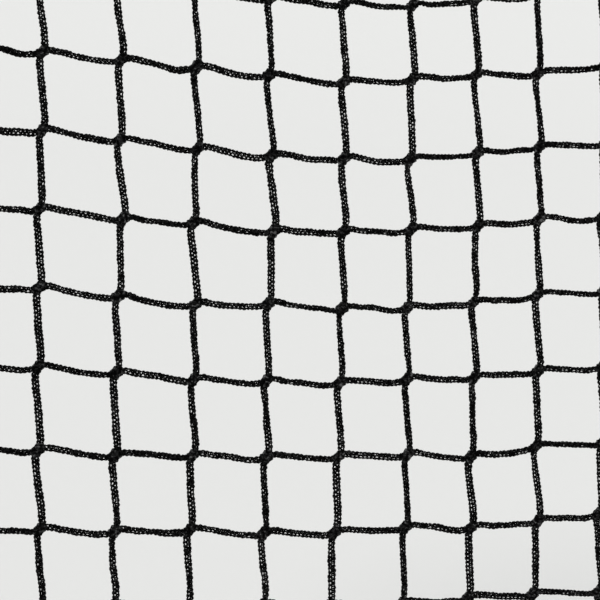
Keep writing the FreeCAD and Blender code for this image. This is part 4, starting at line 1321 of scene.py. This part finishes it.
def mark_rubbed_edges(mesh):
    """Mark the points in the middle of a rounded outer edge, where the faces that meet them
    are all in the second material slot and every neighbour lies lower."""
    rounded = [1.0] * len(mesh.vertices)
    for face in mesh.polygons:
        if face.material_index == 0:
            for corner in face.vertices:
                rounded[corner] = 0.0
        face.material_index = 0
    rise = [0.0] * len(mesh.vertices)
    for edge in mesh.edges:
        start, end = (mesh.vertices[corner] for corner in edge.vertices)
        run = (end.co - start.co).normalized()
        rise[start.index] += run.dot(start.normal)
        rise[end.index] -= run.dot(end.normal)
    rounded = [mark if high < 0 else 0.0 for mark, high in zip(rounded, rise)]
    mesh.attributes.new("rounded", "FLOAT", "POINT").data.foreach_set("value", rounded)


class FRAME_OT_tubes(bpy.types.Operator):
    """Coat the tubes and the pressed hinge brackets"""

    bl_idname = "target_net.tubes"
    bl_label = "Tubes and hinge brackets"

    def execute(self, context):
        sizes = context.scene.target_frame
        coat = satin_powder_coat(sizes.coat_colour)
        dress(["left_upright", "right_upright", "top_bow", "bottom_rail", "left_rear_leg",
               "right_rear_leg", "rear_bow"], coat)
        for node in ("left_hinge_bracket", "right_hinge_bracket"):
            mesh = softened(node, sizes.pressed_edge)
            finish_piece(node + "_pressed", mesh, "frame", coat, node)
        return {"FINISHED"}


class FRAME_OT_fittings(bpy.types.Operator):
    """Mould the rail brackets, hinge knuckles, feet and washers"""

    bl_idname = "target_net.fittings"
    bl_label = "Moulded fittings and feet"

    def execute(self, context):
        sizes = context.scene.target_frame
        colour = sizes.plastic_colour
        nylon = moulded_plastic("moulded_polyamide", colour, grain=0.5 * MM, roughness=0.5)
        foot = moulded_plastic("moulded_polypropylene", colour, grain=0.8 * MM, roughness=0.58)
        for kind, body, slot, material in (
            ("rail_bracket", "frame", "moulded_nylon", nylon),
            ("leg_knuckle", "rear_stand", "moulded_nylon", nylon),
            ("front_foot", "frame", "foot_plastic", foot),
            ("rear_foot", "rear_stand", "foot_plastic", foot),
        ):
            for node in (f"left_{kind}", f"right_{kind}"):
                mesh = softened(node, sizes.soft_edge)
                finish_piece(node + "_moulded", mesh, body, material, node)
        dress(["pivot_washers"], natural_nylon(linear("e6e2dd")))
        return {"FINISHED"}


# Bolts, nuts, screws and rivets
def hexagon(name, flats, low, high, bore=None):
    """A hexagon along Z, its corners chamfered at both ends: a bolt's head or a bored nut."""
    chamfer, slope = flats / 2 * 0.97, radians(25)
    sink = 0.3 * MM if bore else 0.25 * MM

    def shaped(radius, up, turn):
        if radius <= chamfer:
            return radius, up
        from_flat = (turn + pi / 6) % (pi / 3) - pi / 6
        reach = flats / 2 / cos(from_flat)
        drop = (reach - chamfer) * tan(slope)
        return reach, low + drop if up == low else high - drop

    sides = [(chamfer, low), (flats / 2, low), (flats / 2, high), (chamfer, high)]
    if bore:
        profile = [(bore, low + sink), *sides, (bore, high - sink)]
    else:
        profile = [(0, low), *sides, (chamfer * 0.8, high - sink), (0, high - sink)]
    return turned_shape(name, profile, sides=48, ring=bool(bore), shaped=shaped)


def thread_profile(radius, start, end):
    """A shank's (radius, height) corners from its root to its threaded tip."""
    threaded, pitch, deep = 6 * MM, 1 * MM, 0.3 * MM
    profile = [(0, start), (radius, start)]
    toward = copysign(1, end - start)
    at = end - toward * threaded
    while (end - at) * toward > pitch:
        profile += [(radius, at), (radius - deep, at + toward * pitch / 2)]
        at += toward * pitch
    profile += [(radius, at), (radius - 2 * deep, end), (0, end)]
    return profile if toward > 0 else profile[::-1]


def bolt_mesh(name, flats, high, seat, radius, tip):
    """A hex bolt along Z: its head stands on the seat, its shank ends at the tip."""
    out = copysign(1, seat - tip)
    head = hexagon("head", flats, *sorted((seat, seat + out * high)))
    in_head = 0.5 * MM
    shank = thread_profile(radius, seat + out * in_head, tip)
    return joined(name, [head, turned_shape("shank", shank, sides=24)])


def pan_screw_mesh():
    """A pan-head screw standing on Z = 0, with a cross recess."""
    edge, top = SCREW_HEAD_RADIUS, SCREW_HEAD_HIGH
    root, under = -2 * MM, -0.2 * MM
    dome = [(edge, top * 0.42), (edge * 0.95, top * 0.66), (edge * 0.82, top * 0.85),
            (edge * 0.6, top * 0.97), (edge * 0.3, top), (0, top)]
    head = [(0, root), (SCREW_RADIUS, root), (SCREW_RADIUS, under), (edge - 0.2 * MM, under),
            (edge, 0.1 * MM), *dome]
    made = turned_shape("screw", head, sides=28)
    half_long, half_wide, deep = edge * 0.56, 0.55 * MM, top * 0.45
    for turn in (0, 90):
        rings = [
            [turned(turn, "Z") @ Vector((x * half_long * taper, y * half_wide * taper, z))
             for x, y in ((-1, -1), (1, -1), (1, 1), (-1, 1))]
            for z, taper in ((deep, 0.55), (top + 0.2 * MM, 1.1))
        ]
        made = cut(made, skin("arm", rings))
    return made


def rivet_mesh():
    """A blind rivet's head, its rim sunk to the round tube, with the pulled pin's dimple."""
    wide, high = RIVET_HEAD_RADIUS, RIVET_HEAD_HIGH
    root = -1.2 * MM
    head = [(0, root), (wide * 0.97, root), (wide, 0.25 * MM), (wide * 0.92, high * 0.5),
            (wide * 0.72, high * 0.82), (wide * 0.45, high), (wide * 0.34, high),
            (wide * 0.3, high * 0.6), (wide * 0.28, high * 0.45), (0, high * 0.5)]
    return turned_shape("rivet", head, sides=28)


def facing_out(side):
    """Turns a shape along Z to point outwards across, on either side."""
    return turned(0 if side > 0 else 180, "Z") @ turned(90, "Y")


def on_side(side, back, up):
    """A place on a side's upright, with Z pointing outwards across."""
    return LEANT @ moved(side * UPRIGHT_ACROSS, back, up) @ facing_out(side)


def stop_place():
    """The stop bolt's place, back and up from the pivot, just behind the resting leg."""
    fold = FRAME_LEAN + LEG_LEAN
    behind = LEG_RADIUS + STOP_GAP + STOP_RADIUS
    back = STOP_DOWN * sin(fold) + behind * cos(fold)
    return HINGE_BACK + back, PIVOT_UP - STOP_DOWN * cos(fold) + behind * sin(fold)


def screw_places():
    """The screws' places: at the rail, at the front feet and at the rear feet."""
    to_back, to_front = turned(-90, "X"), turned(90, "X")
    rail, front, rear = [], [], []
    bar_up = REAR_FOOT_FLOOR + LEG_RADIUS
    bar_back = PIVOT.y + (PIVOT.z - bar_up) * tan(LEG_LEAN)
    for side in (-1, 1):
        for across in (UPRIGHT_ACROSS, UPRIGHT_ACROSS - RAIL_SOCKET_LONG + RAIL_SCREW_IN):
            rail.append(LEANT @ moved(side * across, SLEEVE_RADIUS, RAIL_UP) @ to_back)
        front.append(LEANT @ moved(side * UPRIGHT_ACROSS, -SLEEVE_RADIUS, SHOE_SCREW_UP) @ to_front)
        rear.append(moved(side * REAR_FOOT_ACROSS, bar_back, bar_up + LEG_RADIUS + FITTING_REACH))
    return rail, front, rear


def rivet_places():
    """The rivets' places: at the front and the back of both rear legs."""
    return [
        IN_STAND @ moved(side * UPRIGHT_ACROSS, face * LEG_RADIUS, -RIVET_DOWN) @ turned(-90 * face, "X")
        for side in (-1, 1)
        for face in (-1, 1)
    ]


class HARDWARE_OT_fasteners(bpy.types.Operator):
    """Fit the bolts, nuts, screws and rivets"""

    bl_idname = "target_net.fasteners"
    bl_label = "Bolts, screws and rivets"

    def execute(self, context):
        zinc = plated_steel("zinc_plated_steel", linear("cdcfd1"), roughness=0.32)
        aluminium = plated_steel("drawn_aluminium", linear("cfd1d3"), roughness=0.28)
        outer = EAR_OUTSIDE + SIDE_GAP
        nut_end = -outer - SMALL_NUT_HIGH
        small = bolt_mesh("bolt", SMALL_HEAD_FLATS, SMALL_HEAD_HIGH, outer, STOP_RADIUS,
                          nut_end - THREAD_PAST_NUT)
        nut = hexagon("nut", SMALL_HEAD_FLATS, nut_end, -outer, STOP_RADIUS)
        pivot = bolt_mesh("pivot", PIVOT_HEAD_FLATS, PIVOT_HEAD_HIGH, -outer, PIVOT_RADIUS,
                          outer + PIVOT_THREAD_OUT)
        stop = joined("stop", [small, nut])
        screw = pan_screw_mesh()
        ups = (PIVOT_UP - BOLT_SPREAD, PIVOT_UP + BOLT_SPREAD)
        clasp = [on_side(side, 0, up) for side in (-1, 1) for up in ups]
        rail, front, rear = screw_places()
        for node, mesh, places, body in (
            ("bracket_bolts", small, clasp, "frame"),
            ("bracket_nuts", nut, clasp, "frame"),
            ("left_stop_bolt", stop, [on_side(-1, *stop_place())], "frame"),
            ("right_stop_bolt", stop, [on_side(1, *stop_place())], "frame"),
            ("left_pivot_bolt", pivot, [on_side(-1, HINGE_BACK, PIVOT_UP)], "frame"),
            ("right_pivot_bolt", pivot, [on_side(1, HINGE_BACK, PIVOT_UP)], "frame"),
            ("rail_screws", screw, rail, "frame"),
            ("front_foot_screws", screw, front, "frame"),
            ("rear_foot_screws", screw, rear, "rear_stand"),
        ):
            finish_piece(
                node + "_plated", mesh, body, zinc, node, places, sharp=35
            )
        finish_piece(
            "knuckle_rivets_blind", rivet_mesh(), "rear_stand", aluminium,
            "knuckle_rivets", rivet_places(), sharp=40,
        )
        return {"FINISHED"}


# Knobs and spring buttons
def knob_mesh():
    """A lobed hand knob round Z: hub and pocket at Z = 0, a dished cap on top."""
    hub, rim = KNOB_HUB_RADIUS, KNOB_RADIUS
    low, top = KNOB_HUB_HIGH, KNOB_HUB_HIGH + KNOB_THICK
    soft = 0.6 * MM

    def lobed(radius, up, turn):
        between = ((1 + cos(KNOB_LOBES * turn)) / 2) ** 2
        outside = smooth_step(radius, hub + 1 * MM, rim - 2 * MM)
        return radius - KNOB_SCALLOP * between * outside, up

    profile = [
        (0, KNOB_POCKET_DEEP), (KNOB_POCKET_RADIUS, KNOB_POCKET_DEEP), (KNOB_POCKET_RADIUS, 0),
        (hub - soft, 0), (hub, soft), (hub, low - soft), (hub + soft, low),
        (rim - 2.2 * MM, low), (rim - soft, low + 0.7 * MM), (rim, low + 2.4 * MM),
    ]
    # The cap's rim and dish: how far in from the rim and down from the top
    profile += [
        (rim - inward * MM, top - down * MM)
        for inward, down in ((0, 4.5), (0.5, 2.2), (2.0, 0.6), (4.2, 0), (6.0, 0.1), (7.0, 0.4),
                             (8.0, 0.9), (9.2, 1.1))
    ]
    profile.append((0, top - 0.7 * MM))
    return turned_shape("knob", profile, sides=16 * KNOB_LOBES, shaped=lobed)


class HARDWARE_OT_knobs(bpy.types.Operator):
    """Mould the two hand knobs and their brass inserts"""

    bl_idname = "target_net.knobs"
    bl_label = "Hand knobs"

    def execute(self, context):
        colour = context.scene.target_frame.plastic_colour
        plastic = moulded_plastic("moulded_phenolic", colour, grain=0.6 * MM, roughness=0.36)
        for node, side in (("left_knob", -1), ("right_knob", 1)):
            seat = on_side(side, HINGE_BACK, PIVOT_UP) @ moved(up=EAR_OUTSIDE + 2 * SIDE_GAP)
            finish_piece(
                node + "_moulded", knob_mesh(), node, plastic, node, [seat], sharp=50
            )
        brass = plated_steel("turned_brass", linear("dcbf88"), roughness=0.3)
        dress(["left_knob_insert", "right_knob_insert"], brass)
        return {"FINISHED"}


def leaf_face(radius):
    """How far out from a tube's middle its spring leaf lies."""
    spigot_bore = radius - 2 * TUBE_WALL - SPIGOT_FIT
    return sqrt(spigot_bore**2 - (LEAF_WIDE / 2) ** 2) - LEAF_GAP


def button_mesh(radius):
    """A domed spring button along Z, through the wall of a tube whose middle is Z = 0."""
    outer = radius + BUTTON_PROUD
    inner = leaf_face(radius)
    dome = [(BUTTON_RADIUS * wide, outer + BUTTON_DOME * (high - 1))
            for wide, high in arc(1, range(0, 76, 15))]
    profile = [(0, inner), (BUTTON_RADIUS, inner), *dome, (0, outer)]
    return turned_shape("button", profile, sides=28)


class HARDWARE_OT_buttons(bpy.types.Operator):
    """Set the spring buttons that lock the tube joints, and the leaves behind them"""

    bl_idname = "target_net.buttons"
    bl_label = "Spring buttons"

    def execute(self, context):
        edge = context.scene.target_frame.leaf_edge
        nickel = plated_steel("nickel_plated_steel", linear("e0dfdc"), roughness=0.2)
        spring = plated_steel("blued_spring_steel", linear("a0a1a4"), roughness=0.38)
        up, down = JOINT_UP + SPIGOT_LONG / 2, -LEG_JOINT_DOWN - SPIGOT_LONG / 2
        for name, side in (("left", -1), ("right", 1)):
            for kind, body, radius, place in (
                ("bow", "frame", TUBE_RADIUS, LEANT @ moved(side * UPRIGHT_ACROSS, 0, up)),
                ("leg", "rear_stand", LEG_RADIUS, IN_STAND @ moved(side * UPRIGHT_ACROSS, 0, down)),
            ):
                node = f"{name}_{kind}_button"
                seat = place @ facing_out(side)
                finish_piece(
                    node + "_domed", button_mesh(radius), node, nickel, node,
                    [seat], sharp=40,
                )
                held = leaf_face(radius) - LEAF_THICK
                bend = [seat @ Vector((0, 0, out)) for out in (held - LEAF_BEND, held)]
                leaf = node + "_spring"
                finish_piece(
                    node + "_leaf", softened(leaf, edge), body, spring, leaf,
                    bends=(node, *bend),
                )
        return {"FINISHED"}


# Stage
def make_floor(colour):
    """A flat round floor that bends up far out, like a studio's cove, so no horizon shows."""
    flat, bend = 8.0, 30.0
    cove = [(flat + out, bend - down) for down, out in arc(bend, range(0, 51, 2))]
    rim, high = cove[-1]
    profile = [(0, 0), *cove, (rim + 1, high), (rim + 1, -1), (0, -1)]
    mesh = turned_shape("studio_floor", profile, sides=96)
    smooth(mesh, sharp=30)
    mesh.materials.append(new_material("matt_studio_floor", colour, 0.9))
    linked("studio_floor", mesh)


def make_lights():
    """A pale sky all round, and two broad suns: a key from the left and a weaker fill."""
    bpy.context.scene.view_settings.view_transform = "Standard"
    world = bpy.data.worlds.new("studio_world")
    world.use_nodes = True
    feed(world.node_tree.nodes["Background"], Color=(*linear("f4f5f6"), 1), Strength=0.75)
    bpy.context.scene.world = world
    for name, tilt, turn, strength, spread in (
        ("key", 50, -35, 1.6, 14),
        ("fill", 55, 140, 0.5, 30),
    ):
        light = bpy.data.lights.new(name, "SUN")
        light.energy = strength
        light.angle = radians(spread)
        linked(name, light).rotation_euler = (radians(tilt), 0, radians(turn))


def make_camera(stage):
    """The camera that sees the netting as the photograph, 600 pixels wide, does."""
    look = LEANT @ Vector((stage.look_across, 0, NET_CENTRE_UP + stage.look_up))
    turn, rise = -stage.turn, stage.rise
    back = Vector((sin(turn) * cos(rise), -cos(turn) * cos(rise), sin(rise)))
    picture_wide = 600 / stage.scale * MM
    lens = bpy.data.cameras.new("camera")
    lens.sensor_width = 36
    lens.lens = lens.sensor_width * stage.distance / picture_wide
    facing = (-back).to_track_quat("-Z", "Y").to_matrix() @ Matrix.Rotation(stage.roll, 3, "Z")
    camera = linked("camera", lens)
    camera.matrix_world = Matrix.Translation(look + back * stage.distance) @ facing.to_4x4()
    bpy.context.scene.camera = camera


class STAGE_OT_studio(bpy.types.Operator):
    """Set up the floor, the soft lights and the camera"""

    bl_idname = "target_net.studio"
    bl_label = "Studio"

    def execute(self, context):
        stage = context.scene.target_stage
        make_floor(stage.floor)
        make_lights()
        make_camera(stage)
        return {"FINISHED"}


class PANEL_PT_target_net(bpy.types.Panel):
    """Lists the target net's sizes, colours and pieces"""

    bl_idname = "PANEL_PT_target_net"
    bl_label = "Pitching target net"
    bl_space_type = "VIEW_3D"
    bl_region_type = "UI"
    bl_category = "Target Net"

    def draw(self, context):
        for name, kind in SETTINGS.items():
            box = self.layout.box()
            for setting in kind.__annotations__:
                box.prop(getattr(context.scene, name), setting)
        for operator in OPERATORS:
            self.layout.operator(operator.bl_idname)


SETTINGS = {
    "target_netting": NettingSettings,
    "target_webbing": WebbingSettings,
    "target_ties": TieSettings,
    "target_frame": FrameSettings,
    "target_stage": StageSettings,
}
OPERATORS = (
    STAGE_OT_studio,
    NETTING_OT_legs,
    NETTING_OT_joints,
    WEBBING_OT_hem,
    WEBBING_OT_target,
    TIES_OT_loops,
    FRAME_OT_tubes,
    FRAME_OT_fittings,
    HARDWARE_OT_fasteners,
    HARDWARE_OT_knobs,
    HARDWARE_OT_buttons,
)
CLASSES = (*SETTINGS.values(), *OPERATORS, PANEL_PT_target_net)


def register():
    for kind in CLASSES:
        bpy.utils.register_class(kind)
    for name, kind in SETTINGS.items():
        setattr(bpy.types.Scene, name, PointerProperty(type=kind))


def unregister():
    for name in SETTINGS:
        delattr(bpy.types.Scene, name)
    for kind in reversed(CLASSES):
        bpy.utils.unregister_class(kind)


def main():
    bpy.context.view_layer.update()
    register()
    bpy.ops.target_net.studio()
    bpy.ops.target_net.netting_legs()
    bpy.ops.target_net.netting_joints()
    bpy.ops.target_net.hem()
    bpy.ops.target_net.target_straps()
    bpy.ops.target_net.ball_loops()
    bpy.ops.target_net.tubes()
    bpy.ops.target_net.fittings()
    bpy.ops.target_net.fasteners()
    bpy.ops.target_net.knobs()
    bpy.ops.target_net.buttons()


if __name__ == "__main__":
    main()
